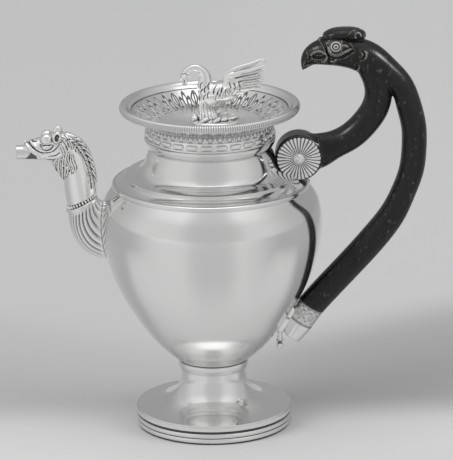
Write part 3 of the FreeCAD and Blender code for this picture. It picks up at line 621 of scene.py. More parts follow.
def rosette(name, side, replaced):
    """Fluted disc on one face of the hub."""
    disc_r = 13.6
    bore = 1.2
    boss_r, boss_h = 2.7, 1.15
    thick = 1.9
    petals = 32
    rings = 48
    turns = petals * 14
    radius = np.linspace(bore, disc_r, rings)[:, None]
    turn = circle(turns)
    share = (radius - boss_r) / (disc_r - boss_r)
    dome = np.interp(radius, [0, boss_r, 0.6 * disc_r, disc_r - 0.5, disc_r],
                     [boss_h, boss_h, thick, 0.75 * thick, 0.5 * thick])
    groove = 1 - np.abs(np.cos(0.5 * petals * turn)) ** 0.6
    started = ease(share / 0.10)
    height = np.maximum(dome - 0.95 * started * groove, 0.25)
    scallop = radius - 0.35 * ease((share - 0.85) / 0.15) * groove
    back = np.zeros((2, turns))
    radius = np.concatenate([scallop, back[:1] + disc_r - 0.4, back[:1] + bore])
    height = np.concatenate([height, back])
    points = np.stack([hub[0] + radius * np.cos(turn), hub[1] + side * (hub_half + height),
                       hub[2] + radius * np.sin(turn)], -1)
    # painted shade in the flutes of the rosette
    shade = np.concatenate([1.1 * groove * started - 0.15, back])
    piece(name, replaced, points.reshape(-1, 3), grid_faces(rings + 2, turns), crease=50, hollow=shade)


def handle_socket():
    joint_r = 7.9
    tip_r = 6.2
    bore = 5.0
    pole = 0.02
    joint = socket_band_len
    end = joint + 12.0
    rounded = arc((tip_r, end - 1), (tip_r - 0.3, end - 0.3), (tip_r - 1, end), 8)
    sleeve = [(8.1, 0), (joint_r - 0.6, joint)]
    cup = [(joint_r, joint), (joint_r, joint + 0.4), (joint_r + 0.1, joint + 0.8)]
    profile = rows(sleeve, cup, rounded, (pole, end), (pole, end - 1), (bore, end - 1), (7.4, 0))
    shade = 0.9 * ease(1.8 - np.abs(profile[:, 1] - joint) / 0.4)
    turned_piece("handle_socket_cup", "handle_socket", profile, 128, 0.0, shade, socket_mouth, socket_axes)


def socket_finial():
    """Drop under the socket: a short stem, a collar, a neck with painted shadow and a ball."""
    pole = 0.05
    place = middle("socket_finial")
    base, top = low("socket_finial")[2], high("socket_finial")[2]
    ball = high("socket_finial")[0] - place[0]
    neck_z = base + 1.85 * ball
    lower = arc((pole, base), (ball, base + ball), (0.5 * ball, neck_z), 22)
    upper = [(0.5 * ball, neck_z + 0.7), (0.98 * ball, neck_z + 1.1), (ball, neck_z + 2.6),
             (0.8 * ball, neck_z + 3.2), (0.72 * ball, top), (pole, top)]
    profile = rows(lower, upper)
    # painted shadow on the neck between the ball and the collar
    neck_shade = ease(1.5 - np.abs(profile[:, 1] - neck_z - 0.45))
    turned_piece("socket_finial_turned", "socket_finial", profile, 64, hollow=0.9 * neck_shade,
                 place=(place[0], place[1], 0))


def scrolls(u, v):
    """Depth of an engraved line of running scrolls; u is counted in scrolls, v from -1 to 1."""
    lines = np.zeros(np.broadcast(u, v).shape)
    for shift, flip in ((0.0, 1), (0.5, -1)):
        x = (u + shift) - np.floor(u + shift) - 0.5
        y = flip * v - 0.15
        reach = np.hypot(x * 2.6, y * 1.1)
        coil = 1.6 * reach - flip * np.arctan2(y, x * 2.4) / full_turn
        away = np.abs(coil - np.floor(coil) - 0.5)
        scroll = ease((0.17 - away) / 0.1) * ease((0.95 - reach) / 0.1) * ease((reach - 0.08) / 0.1)
        lines = np.maximum(lines, scroll)
    border = ease((np.abs(v) - 0.84) / 0.04) * ease((0.96 - np.abs(v)) / 0.04)
    return np.maximum(lines, border)


def socket_band():
    turns = 480
    steps = 70
    scroll_count = 11
    top_r = 8.7
    end_r = 7.9
    wall = 0.57
    d = np.linspace(0, socket_band_len - solder, steps)
    outer = np.stack([top_r + (end_r - top_r) * d / socket_band_len, d], 1)
    profile = rows(outer, (end_r - wall, d[-1]), (top_r - wall, 0))
    row = np.arange(len(profile))[:, None]
    v = np.clip(2 * row / (steps - 1) - 1, -1, 1)
    cut = (row < steps) * scrolls(circle(turns) * scroll_count / full_turn, v)
    # painted shade: the engraved scrolls dark, the rest of the band a little grey
    turned_piece("socket_band_engraved", "socket_band", profile, turns, -0.14 * cut, 0.24 + 0.5 * cut,
                 socket_mouth, socket_axes, material=worked, crease=0)


# Spout's fluted horn

def spout_base():
    """Fluted horn, cut off where it meets the body."""
    flutes = 26
    turns = flutes * 14
    steps = 161
    kept = 90
    back = np.array([(8.6, 18.6), (2.5, 19.2), (0.0, 19.8), (-1.2, 20.5)])
    front = np.array([(8.6, -18.8), (-10.4, -12.8), (-18.5, 0.3), (-20.3, 11.6)])
    wide = np.array([9.8, 10.6, 10.6, 10.3])
    course = spline(np.concatenate([0.5 * (back + front), 0.5 * (back - front), wide[:, None]], 1), steps)
    turn = circle(turns)
    share = np.linspace(0, 1, steps)[:, None]
    bent = (0.5 + 0.5 * np.cos(turn)) ** (1 / (1 + 1.2 * (1 - share)))
    groove = 1 - np.abs(np.cos(0.5 * flutes * np.arccos(np.clip(2 * bent - 1, -1, 1)))) ** 0.55
    groove = groove * ease((1 - share) / 0.06)
    shrink = 1 - 0.095 * groove
    x = spout_root[0] + course[:, 0:1] + course[:, 2:3] * np.cos(turn) * shrink
    y = course[:, 4:5] * np.sin(turn) * shrink
    z = spout_root[2] + course[:, 1:2] + course[:, 3:4] * np.cos(turn) * shrink
    outside = np.hypot(x, y) - body_radius(z) - solder
    grid = np.stack([x, y, z, groove], -1)
    out = np.zeros((kept, turns, 4))
    for j in range(turns):
        first = np.argmax(outside[:, j] > 0)
        start = first - outside[first, j] / (outside[first, j] - outside[first - 1, j])
        at = np.linspace(start, steps - 1, kept)
        for column in range(4):
            out[:, j, column] = np.interp(at, np.arange(steps), grid[:, j, column])
    skin = out[:, :, :3]
    from_wall = np.linalg.norm(skin - skin[:1], axis=2)
    # painted shade in the flute grooves, fading out near the body, and along the seam where the horn meets the
    # body
    shade = np.maximum(out[:, :, 3] * ease(from_wall / 4.0), 0.4 * ease(1.6 - from_wall / 0.5))
    centre = skin.mean(1, keepdims=True)
    inside = (centre + 0.80 * (skin - centre))[::-1]
    points = np.concatenate([skin, inside]).reshape(-1, 3)
    shade = np.concatenate([shade ** 0.8, np.zeros((kept, turns))])
    piece("spout_horn_fluted", "spout_base", points, grid_faces(2 * kept, turns), worked, crease=0,
          hollow=shade)


# Sculpted pieces: distances in millimetres on a grid of cells, negative inside, made for Y <= 0 and mirrored

far = 9.0                                   # distance in cells that no shape has reached


def joined(first, second, soft):
    """Nearer of two distances, with a rounded inner corner."""
    nearer = np.minimum(first, second)
    if soft <= 0:
        return nearer
    mix = np.maximum(soft - np.abs(first - second), 0)
    return nearer - mix * mix / (4 * soft)


def averaged(field, reach):
    """Mean over the cells within reach along each axis."""
    for axis in range(3):
        width = [(0, 0)] * 3
        width[axis] = (reach + 1, reach)
        total = np.cumsum(np.pad(field, width, "edge"), axis, dtype=np.float64)
        ahead = np.take(total, range(2 * reach + 1, total.shape[axis]), axis)
        behind = np.take(total, range(total.shape[axis] - 2 * reach - 1), axis)
        field = ((ahead - behind) / (2 * reach + 1)).astype(np.float32)
    return field


def swelling(count, first, last):
    """Taper of a line that starts and ends a little inside half a turn of a sine."""
    return np.sqrt(np.sin(np.linspace(first, math.pi - last, count)))


class Clay:
    """Block of cells round a CAD node. Shapes are placed from its origin; functions of x, y, z are not."""

    def __init__(self, node, cell, margin=2):
        self.cell = cell
        self.origin = np.zeros(3)
        self.low = low(node) - margin
        self.low[1] = cell * math.floor(self.low[1] / cell)
        span = (high(node) + margin) * side_view - self.low
        self.count = np.ceil(span / cell - 1e-6).astype(int) + 1
        self.away = np.full(self.count, far, np.float32)

    def window(self, box_low, box_high):
        """Cells inside a box, as their first and last numbers and as places in space."""
        first = np.clip(np.floor((box_low - self.low) / self.cell).astype(int), 0, self.count)
        last = np.clip(np.ceil((box_high - self.low) / self.cell).astype(int) + 1, first, self.count)
        axes = [self.low[i] + self.cell * np.arange(first[i], last[i]) for i in range(3)]
        return first, last, np.meshgrid(*[a.astype(np.float32) for a in axes], indexing="ij", sparse=True)

    def stroke(self, points, radii, soft=0.0, squash=1.0):
        """Round rod along points; squash is its width across Y over its depth."""
        points = np.asarray(points, float) + self.origin
        radii = np.broadcast_to(np.asarray(radii, float), len(points))
        squash = np.broadcast_to(np.asarray(squash, float), len(points))
        grow = (radii * np.maximum(squash, 1) + soft + 3 * self.cell)[:, None]
        start, stop, _ = self.window((points - grow).min(0), (points + grow).max(0))
        field = np.full(stop - start, far, np.float32)
        for i in range(len(points) - 1):
            a, b = points[i], points[i + 1]
            box_low = np.minimum(a - grow[i], b - grow[i + 1])
            box_high = np.maximum(a + grow[i], b + grow[i + 1])
            first, last, (x, y, z) = self.window(box_low, box_high)
            step = b - a
            t = ((x - a[0]) * step[0] + (y - a[1]) * step[1] + (z - a[2]) * step[2]) / max(step @ step, 1e-9)
            t = np.clip(t, 0, 1)
            thin = squash[i] + t * (squash[i + 1] - squash[i])
            side = (y - a[1] - t * step[1]) / thin
            reach = np.sqrt((x - a[0] - t * step[0]) ** 2 + side ** 2 + (z - a[2] - t * step[2]) ** 2)
            part = tuple(slice(f - s, l - s) for f, l, s in zip(first, last, start))
            skin = (reach - radii[i] - t * (radii[i + 1] - radii[i])) * np.minimum(thin, 1)
            field[part] = np.minimum(field[part], skin)
        return tuple(slice(s, e) for s, e in zip(start, stop)), field

    def blob(self, centre, half, lean=0.0, soft=0.0):
        """Ellipsoid whose X axis rises by lean degrees."""
        centre, half = np.array(centre, float) + self.origin, np.array(half, float)
        grow = half.max() + soft + 3 * self.cell
        first, last, (x, y, z) = self.window(centre - grow, centre + grow)
        c, s = math.cos(math.radians(lean)), math.sin(math.radians(lean))
        u = ((x - centre[0]) * c + (z - centre[2]) * s) / half[0]
        v = (y - centre[1]) / half[1]
        w = ((z - centre[2]) * c - (x - centre[0]) * s) / half[2]
        near = np.sqrt(u * u + v * v + w * w)
        slope = np.sqrt((u / half[0]) ** 2 + (v / half[1]) ** 2 + (w / half[2]) ** 2)
        field = near * (near - 1) / np.maximum(slope, 1e-6)
        return tuple(slice(f, l) for f, l in zip(first, last)), field.astype(np.float32)

    def everywhere(self, distance):
        """Shape given by a function of x, y and z over the whole block."""
        _, _, place = self.window(self.low, self.low + self.cell * (self.count - 1))
        return tuple(slice(0, n) for n in self.count), distance(*place)

    def add(self, shape, soft=0.0):
        where, field = self.everywhere(shape) if callable(shape) else shape
        self.away[where] = joined(self.away[where], field, soft)

    def carve(self, shape, soft=0.0):
        where, field = self.everywhere(shape) if callable(shape) else shape
        self.away[where] = -joined(-self.away[where], field, soft)

    def rod(self, points, radii, soft=0.0, squash=1.0):
        self.add(self.stroke(points, radii, soft, squash), soft)

    def lump(self, centre, half, lean=0.0, soft=0.0):
        self.add(self.blob(centre, half, lean, soft), soft)

    def limb(self, stations, count, soft=0.0):
        """Round limb through rows of x, z, half depth and half width."""
        curve = spline(stations, count)
        course = np.stack([curve[:, 0], 0 * curve[:, 0], curve[:, 1]], 1)
        self.rod(course, curve[:, 2], soft, curve[:, 3] / curve[:, 2])

    def on_skin(self, places, lift=0.0):
        """Places of the side view (x, z), set on the near surface and lifted from it."""
        out = []
        for x, z in np.asarray(places, float):
            cell = np.round((np.array([x, z]) + self.origin[[0, 2]] - self.low[[0, 2]]) / self.cell)
            i, k = np.clip(cell.astype(int), 0, self.count[[0, 2]] - 1)
            column = self.away[i, :, k]
            inside = np.flatnonzero(column < 0)
            y = 0.0
            if len(inside) and inside[0] > 0:
                j = inside[0]
                y = self.low[1] + self.cell * (j - 1 + column[j - 1] / (column[j - 1] - column[j]))
            out.append((x, y - self.origin[1] - lift, z))
        return np.array(out)

    def stud(self, place, half, soft=0.0):
        """Small ellipsoid set on the near surface."""
        self.lump(self.on_skin([place])[0], half, 0, soft)

    def groove(self, places, radius, depth, count=24):
        """Line cut along the near surface."""
        curve = self.on_skin(spline(places, count), radius - depth)
        self.carve(self.stroke(curve, radius), 0.3 * depth)

    def welt(self, places, radius, height, taper, soft):
        """Rod laid along the near surface."""
        curve = self.on_skin(spline(places, len(taper)), height - radius)
        self.rod(curve, radius * taper, soft)

    def ridge(self, places, radius, height):
        """Line raised along the near surface, thinner towards both ends."""
        self.welt(places, radius, height, 0.35 + 0.65 * swelling(24, 0.08, 0.08), 0.4)

    def blade(self, places, radius, height, ends, cut):
        """Tapered lock of hair or feather on the near surface, with a line cut down its middle."""
        self.welt(places, radius, height, swelling(20, *ends), 0.1)
        self.groove(places, *cut, 20)

    def mesh(self, gain):
        """Points, faces and hollow field of the whole piece; the field is painted shade in concave places and
        below 0 on convex edges, and gain sets how strongly the hollows show.
        """
        both = np.concatenate([self.away, self.away[:, -2::-1]], 1)
        grid = openvdb.FloatGrid()
        grid.copyFromArray(np.ascontiguousarray(both))
        points, quads = grid.convertToQuads(isovalue=0.0)
        reach = 2
        held = np.clip(both, -3 * self.cell, 3 * self.cell)
        bend = (held - averaged(held, reach)) / (reach * self.cell)
        index = np.clip(np.round(points).astype(int), 0, np.array(both.shape) - 1)
        hollow = bend[index[:, 0], index[:, 1], index[:, 2]] - 0.03
        return points * self.cell + self.low, quads, gain * hollow

    def cast(self, name, node, gain, material=worked, slot="silver"):
        points, faces, hollow = self.mesh(gain)
        return piece(name, node, points, faces, material, slot, 0, hollow)


def ring_arc(x, z, radius, first, last):
    """Side-view arc about a place, in degrees."""
    turn = np.radians(np.linspace(first, last, 14))
    return np.stack([x + radius * np.cos(turn), z + radius * np.sin(turn)], 1)


def moved(stations, place):
    return [(place[0] + x, place[2] + z, *rest) for x, z, *rest in stations]


# Wooden handle: rows of x, z, half depth and half width from the socket, the hub and the beak

grip_reach = 72.3
grip_low = [(0, 0, 8.7, 8.7), (5.9, 6.7, 8.7, 8.7), (12.6, 14.0, 8.7, 8.7), (25.9, 28.3, 8.7, 8.7)]
grip_bow = [(0.689, -51.3, 8.7), (0.821, -38.0, 8.3), (0.905, -25.3, 7.9), (0.98, -9.5, 7.9), (1.0, 3.9, 7.9),
            (0.998, 17.0, 7.9), (0.956, 31.1, 7.9), (0.88, 45.3, 7.7)]
bird_course = [(51.1, -0.7, 9.0, 8.6), (39.6, 7.4, 10.4, 9.2), (26.0, 11.2, 9.7, 9.0),
               (13.3, 11.4, 8.3, 7.6), (5.3, 8.5, 5.6, 5.0), (1.3, 2.7, 2.2, 2.2), (0.4, 0.7, 0.9, 0.9)]
comb_course = [(15.6, 21.4, 3.1, 5.2), (17.6, 22.0, 3.6, 6.2), (21.1, 22.7, 3.9, 7.3),
               (26.9, 23.0, 3.9, 7.6), (33.3, 22.6, 3.7, 7.0), (36.6, 21.8, 3.1, 5.4)]
horn_course = [(41.1, 61.9, 7.6, 7.0), (47.5, 51.3, 8.4, 7.8), (50.1, 40.5, 8.6, 8.2),
               (48.2, 30.5, 8.7, 8.4), (42.1, 20.9, 8.7, 8.4), (32.2, 11.5, 8.7, 8.4),
               (20.5, 5.6, 9.2, 8.4), (10.2, 2.0, 11.5, 8.2), (2.1, 1.0, 12.0, 8.0)]


def past_socket(x, y, z):
    """Room below the plane of the socket's mouth."""
    return 0.02 - (x - socket_mouth[0]) * socket_axis[0] - (z - socket_mouth[2]) * socket_axis[2]


def hub_drum(x, y, z):
    edge = 2.5
    out = np.hypot(x - hub[0], z - hub[2]) - (hub_r - edge)
    side = np.abs(y) - (hub_half - edge)
    return np.minimum(np.maximum(out, side), 0) + np.hypot(np.maximum(out, 0), np.maximum(side, 0)) - edge


def eye_bed(x, y, z):
    """Recess that an eye is set in."""
    return np.maximum(np.hypot(x - eye[0], z - eye[2]) - eye_r - 0.05, y + eye_face - eye_deep)


def silver_inside(x, y, z):
    """Room the wood leaves for the neck, the shoulder and the body."""
    gap = 0.4
    band_r = shoulder_r + shoulder_bead
    band = [(band_r, z_shoulder + 0.1), (band_r, z_shoulder + shoulder_lip)]
    curve = rows(body_curve(), band, (neck_foot_r + shoulder_bead, z_neck), neck_curve())
    return np.hypot(x, y) - np.interp(z, curve[:, 1], curve[:, 0]) - gap


def carve_beak(clay):
    clay.origin = beak
    clay.groove([(11.6, 19.8), (13.6, 17.2), (14.8, 14.2), (16.2, 11.0), (16.8, 7.8), (16.2, 4.6)], 0.9, 1.0)
    clay.ridge([(4.6, 10.2), (7.8, 12.6), (11.2, 13.2), (14.2, 11.6)], 1.2, 1.2)
    clay.ridge([(7.4, 6.6), (11.0, 5.9), (13.8, 7.2), (14.9, 9.8)], 1.1, 1.1)
    clay.groove([(7.4, 9.3), (10.6, 9.0), (13.6, 9.6)], 1.1, 1.6)
    clay.groove([(1.6, 3.6), (5.2, 4.9), (10.6, 4.4), (16.8, 4.6), (20.4, 6.2)], 0.7, 0.9)
    for k in range(8):
        clay.groove([(2.6 + 1.4 * k, 7.4 - 0.25 * k), (2.2 + 1.5 * k, 4.2 + 0.05 * k)], 0.5, 0.6, 6)
    clay.groove([(3.0, 12.6), (4.4, 10.0), (4.0, 7.4)], 0.6, 0.7)
    clay.ridge(ring_arc(18.6, 8.6, 1.9, -130, 110), 0.8, 0.8)
    clay.groove(ring_arc(18.6, 8.6, 0.8, -130, 110), 0.6, 0.9)


def carve_head(clay):
    clay.origin = eye
    clay.ridge([(-4.8, -0.6), (-3.2, -4.0), (0.6, -5.2), (4.4, -3.8), (9.0, -1.6)], 1.2, 1.2)
    clay.groove([(-5.8, -2.0), (-3.6, -6.0), (1.2, -7.1), (5.8, -5.6), (10.6, -2.6)], 0.7, 0.8)
    clay.groove([(4.4, 1.8), (6.8, 1.0), (9.6, -0.6)], 0.7, 0.9)
    clay.ridge([(3.8, 0.4), (5.6, 0.2), (7.4, -0.6)], 1.5, 0.9)
    for x, z, first in ((15.0, -5.4, -80), (10.6, -13.4, -110)):
        clay.groove(ring_arc(x, z, 2.7, first, first + 150), 0.75, 0.9)
        clay.ridge(ring_arc(x + 1.1, z, 2.9, first + 15, first + 135), 0.7, 0.5)


def carve_comb(clay):
    clay.origin = beak
    for k in range(5):
        start = (25.4 + 1.2 * k, 19.4 + 1.2 * k)
        end = (37.0 - 0.8 * k, 20.4 + 1.15 * k)
        bend = (0.5 * (start[0] + end[0]), 0.5 * (start[1] + end[1]) + 1.0)
        clay.groove([start, bend, end], 0.55, 0.7)
    clay.ridge(ring_arc(34.4, 22.6, 1.8, -20, 250), 0.8, 0.9)


def handle_wood():
    clay = Clay("handle_wood", 0.42)
    bow = [(share * grip_reach, z, deep, deep) for share, z, deep in grip_bow]
    clay.limb(moved(grip_low, socket_mouth) + moved(bow, hub) + moved(bird_course, beak), 170)
    clay.carve(past_socket)
    clay.limb(moved(horn_course, hub), 70, 1.2)
    clay.add(hub_drum, 2.0)
    clay.lump(eye - along_y * (eye_face - 3.9), (7.2, 3.4, 5.2), 0, 1.5)
    clay.origin = beak
    clay.limb(comb_course, 50, 0.6)
    clay.lump((11.4, 0, 19.0), (1.9, 3.2, 1.7), 30, 0.8)
    carve_beak(clay)
    carve_head(clay)
    carve_comb(clay)
    clay.carve(eye_bed)
    clay.carve(silver_inside)
    return clay.cast("handle_carved", "handle_wood", 3.0, dark_wood, "dark_wood")


def eye_inlays():
    """Bone discs with turned rings."""
    turns = 64
    sunk = 0.3
    profile = rows((0.02, 0.25), (0.6, 0.30), (0.8, 0.12), (1.5, 0.16), (1.7, -0.05), (2.4, -0.05),
                   (2.6, 0.10), (3.0, 0.08), (3.2, -0.05), (eye_r, -0.15), (eye_r, -eye_deep),
                   (0.02, -eye_deep))
    ring_r = [0, 0.6, 0.8, 1.5, 1.7, 2.4, 2.6, 3.3, 3.5]
    rings = np.interp(profile[:, 0], ring_r, [1, 1, 0, 0, 1, 1, 0, 0, 1])
    disc, faces = turned(profile, turns)
    both = []
    for side in (-1, 1):
        axes = np.array([(1, 0, 0), (0, 0, side), (0, side, 0)])
        both.append(disc @ axes + eye + along_y * side * (eye_face - sunk))
    piece("eyes_ringed", "eye_inlays", np.concatenate(both), repeated(faces, 2, len(disc)), bone, "bone", 30,
          np.tile(np.repeat(rings, turns), 2))


def socket_bracket():
    """Strap between the body and the socket, slotted along its length."""
    clay = Clay("socket_bracket", 0.3, 1)
    clay.origin = middle("socket_bracket")
    end = 7.0 * socket_axis
    wide = 0.5 * (high("socket_bracket")[1] - low("socket_bracket")[1])
    clay.rod([end, -end], [3.2, 3.8], squash=wide / 3.9)
    clay.carve(lambda x, y, z: np.hypot(x, y) - body_radius(z) - solder)

    def at(along, across):
        return -(along * socket_axis + across * socket_axes[0])[[0, 2]]
    clay.groove([at(-5.4, 1.7), at(0.4, 1.7)], 0.8, 1.2)
    clay.groove([at(2.2, -1.0), at(2.2, 3.6)], 0.6, 0.9)
    clay.groove([at(4.0, 1.7), at(8.0, 1.7)], 0.6, 0.9)
    clay.cast("socket_bracket_slotted", "socket_bracket", 4.5)


# Animal's head on the spout, placed from the spout's root

collar_axes = np.array([(0.9065, 0, 0.4224), along_y, (-0.4224, 0, 0.9065)])
collar_axis = collar_axes[2]
neck_along = np.array([-0.14, 0, 0.99]) / math.hypot(0.14, 0.99)
collar_t = 2.8
collar_bead_r = 1.15
collar_r = 10.8
tube_r = 4.35
neck_course = [(-12.7, 30.3, 9.7, 9.4), (-14.5, 40.7, 9.1, 8.8), (-18.8, 49.6, 10.0, 8.8),
               (-26.3, 55.0, 9.6, 8.2), (-33.3, 54.6, 7.6, 6.8), (-39.8, 53.8, 6.4, 5.8),
               (-43.4, 53.2, 5.4, 5.2)]
jaw_course = [(-24.0, 50.0, 6.4, 6.4), (-31.0, 50.0, 4.0, 4.8), (-36.0, 49.8, 2.8, 4.6),
              (-39.0, 49.4, 1.8, 4.2)]
beard_course = [(-25.0, 47.0, 3.4, 6.0), (-25.0, 42.0, 2.9, 4.6), (-23.6, 37.0, 1.9, 3.0),
                (-22.9, 34.2, 0.9, 1.4)]
mane_course = [(-22.0, 63.2, 1.2, 1.6), (-15.4, 60.8, 1.9, 2.0), (-9.4, 55.0, 2.0, 2.0),
               (-5.4, 45.4, 1.9, 1.8), (-3.2, 34.0, 1.6, 1.6), (-2.9, 28.6, 1.2, 1.4)]


def collar_centre(lift):
    """Place on the neck's axis above the underside of the collar."""
    return spout_root + np.array([-10.75, 0, 16.05]) + neck_along * lift / (neck_along @ collar_axis)


def animal_face(clay):
    clay.lump((-32.6, -4.4, 61.2), (3.9, 3.2, 3.5), 10, 0.5)
    clay.groove([(-36.6, 58.2), (-33.4, 57.4), (-29.6, 58.4)], 0.5, 0.6)
    clay.stud((-32.7, 56.4), (2.7, 0.8, 1.2), 0.3)
    clay.groove([(-36.6, 57.6), (-33.0, 54.6), (-29.2, 56.6), (-28.4, 58.2)], 0.45, 0.55)
    clay.ridge([(-46.4, 58.8), (-43.6, 55.8), (-40.4, 52.8), (-36.8, 50.6)], 1.25, 0.9)
    clay.groove([(-45.2, 60.4), (-42.2, 57.2), (-38.6, 54.2), (-34.8, 52.2)], 0.5, 0.6)
    clay.ridge([(-43.4, 59.8), (-39.6, 57.0), (-36.0, 54.2)], 0.9, 0.5)
    clay.groove([(-42.4, 60.8), (-40.6, 59.6), (-39.2, 59.9)], 0.55, 0.6)
    clay.groove([(-35.6, 53.0), (-31.0, 53.2), (-27.0, 55.6), (-24.6, 58.6)], 0.5, 0.45)
    clay.groove([(-31.2, 50.4), (-27.6, 51.2), (-24.6, 53.4)], 0.5, 0.45)
    clay.groove([(-35.6, 48.6), (-31.0, 47.8), (-26.8, 48.2)], 0.45, 0.4)


def animal_ear(clay):
    clay.lump((-25.9, -7.0, 62.8), (3.0, 2.0, 3.8), -12, 0.4)
    clay.carve(clay.blob((-25.9, -8.7, 62.8), (1.5, 2.4, 2.4), -12), 0.1)


def animal_hair(clay):
    """Forelocks, tufts of the neck and locks of the beard."""
    forelocks = [[(-24.4, 62.6), (-21.6, 59.8), (-19.4, 55.4)], [(-21.6, 63.4), (-18.4, 60.2), (-16.6, 55.2)],
                 [(-18.6, 62.0), (-15.4, 58.6), (-14.2, 53.6)], [(-23.6, 58.8), (-21.6, 55.4), (-20.8, 51.4)]]
    tufts = [[(-18.8, 54.0), (-20.0, 48.6), (-18.0, 44.4), (-17.2, 39.6)],
             [(-16.8, 52.0), (-16.8, 47.6), (-15.4, 44.0), (-16.4, 40.0)],
             [(-21.2, 52.0), (-21.6, 47.6), (-19.8, 44.0), (-18.8, 41.0)]]
    beard = [[(-26.2, 49.0), (-27.6, 44.0), (-26.6, 39.8)], [(-24.0, 49.8), (-24.8, 43.6), (-24.0, 36.6)],
             [(-21.8, 49.4), (-22.2, 42.6), (-22.8, 34.2)], [(-20.2, 45.4), (-20.6, 40.2), (-21.6, 36.2)]]
    for radius, height, locks in ((1.7, 1.2, forelocks), (1.6, 1.3, tufts), (1.7, 1.5, beard)):
        for places in locks:
            clay.blade(places, radius, height, (0.25, 0.06), (0.4, 0.5))


def animal_mane(clay):
    clay.limb(mane_course, 60, 0.4)
    parting = [(-14.6, 57.6), (-10.6, 51.8), (-8.0, 45.8), (-6.2, 39.6), (-5.2, 33.6), (-5.0, 29.6)]
    clay.groove(parting, 0.9, 1.1, 40)
    course = spline([row[:2] for row in mane_course], 41)
    along = np.gradient(course, axis=0)
    across = np.stack([along[:, 1], -along[:, 0]], 1) / np.linalg.norm(along, axis=1, keepdims=True)
    bends = ((0, 2.0), (3, 0.2), (6, -1.2))
    for k in range(2, 34, 4):
        clay.groove([course[k + step] + out * across[k + step] for step, out in bends], 0.4, 0.45, 12)


def spout_head():
    clay = Clay("spout_head", 0.30)
    clay.origin = spout_root
    start = collar_centre(0.4) - spout_root
    clay.limb([(start[0], start[2], 9.7, 9.4), *neck_course], 90)
    clay.limb(jaw_course, 30, 1.0)
    clay.limb(beard_course, 20, 0.8)
    animal_face(clay)
    animal_ear(clay)
    animal_hair(clay)
    animal_mane(clay)
    for y in (0.0, -3.0, -6.0):
        clay.carve(clay.stroke([(-54.0, y, 49.4), (-45.0, y, 49.6), (-40.4, y, 49.4)], [5.4, 4.4, 2.0]))
    tube_x, tube_z = spout_root[0] - 33.9, spout_root[2] + 51.8
    clay.carve(lambda x, y, z: np.maximum(np.hypot(y, z - tube_z) - tube_r - 0.05, x - tube_x))
    trim = collar_centre(collar_t + 2 * collar_bead_r - 0.1)
    clay.carve(lambda x, y, z: (x - trim[0]) * collar_axis[0] + (z - trim[2]) * collar_axis[2])
    clay.cast("spout_head_cast", "spout_head", 6.0)


def spout_tube():
    """Pouring tube, with painted shadow where it enters the mouth and painted shade inside its bore."""
    turns = 72
    wall = 1.0
    edge = 0.3
    tip, end = low("spout_tube")[0], high("spout_tube")[0]
    skin = np.stack([np.full(40, tube_r), np.linspace(tip + edge, end, 40)], 1)
    profile = rows((tube_r - edge, tip), skin, (tube_r - wall, end), (tube_r - wall, tip))
    radius, along = profile[:, :1], profile[:, 1:]
    level = 0.5 + 0.5 * radius * np.sin(circle(turns)) / tube_r
    bore = radius < tube_r - 0.9 * wall
    # painted shadow under the lip, reaching further in at the tube's top, and painted shade in the bore
    shade = np.maximum(0.95 * ease((along - tip - 4.6 - 7.0 * level) / 1.2), 0.9 * bore)
    turned_piece("spout_tube_drawn", "spout_tube", profile, turns, 0.0, shade,
                 middle("spout_tube") * (0, 1, 1), np.eye(3)[[1, 2, 0]])


def spout_beads():
    """Row of upright beads on a backing ring above the collar, painted dark as the shade between the beads."""
    count, steps, sides = 30, 12, 16
    half_h, half_out, half_around = 1.12, 1.1, 0.74
    centre = collar_centre(collar_t) + collar_axis * collar_bead_r
    ring_r = collar_r - collar_bead_r - 0.2
    spin = circle(count)[:, None, None, None]
    out = collar_axes[0] * np.cos(spin) + along_y * np.sin(spin)
    around = np.cross(collar_axis, out)
    turn = circle(sides)[:, None]
    tilt = np.linspace(0.02, math.pi - 0.02, steps)[:, None, None]
    balls = (centre + out * ring_r + half_h * np.cos(tilt) * collar_axis
             + half_out * np.sin(tilt) * np.cos(turn) * out
             + half_around * np.sin(tilt) * np.sin(turn) * around).reshape(-1, 3)
    faces = repeated(capped_faces(steps, sides), count, steps * sides)
    ring = rows((ring_r - 2.4, -1.1), (ring_r + 0.1, -1.1), (ring_r + 0.1, 1.1), (ring_r - 2.4, 1.1))
    backing, ring_faces = turned(ring, 128)
    points = np.concatenate([balls, backing @ collar_axes + centre])
    # painted shade: the backing ring shows dark between the beads
    shade = np.arange(len(points)) >= len(balls)
    piece("spout_beads_row", "spout_beads", points, np.concatenate([faces, ring_faces + len(balls)]), worked,
          crease=30, hollow=shade)


# Swan on the lid, placed from the middle of the dish's floor

swan_core = (7.0, 0, 18.6)
swan_neck = [(2.0, 15.0, 6.6, 5.8), (-2.6, 22.6, 5.0, 4.4), (-2.4, 28.4, 3.6, 3.2), (-4.8, 32.8, 2.6, 2.4),
             (-9.0, 34.6, 2.2, 2.0), (-13.3, 32.7, 2.4, 2.2), (-15.1, 29.3, 3.0, 2.6),
             (-15.4, 26.4, 2.2, 1.8), (-15.2, 23.9, 1.2, 1.1)]
wing_root = (8.8, -4.2)
wing_splay = math.radians(9)


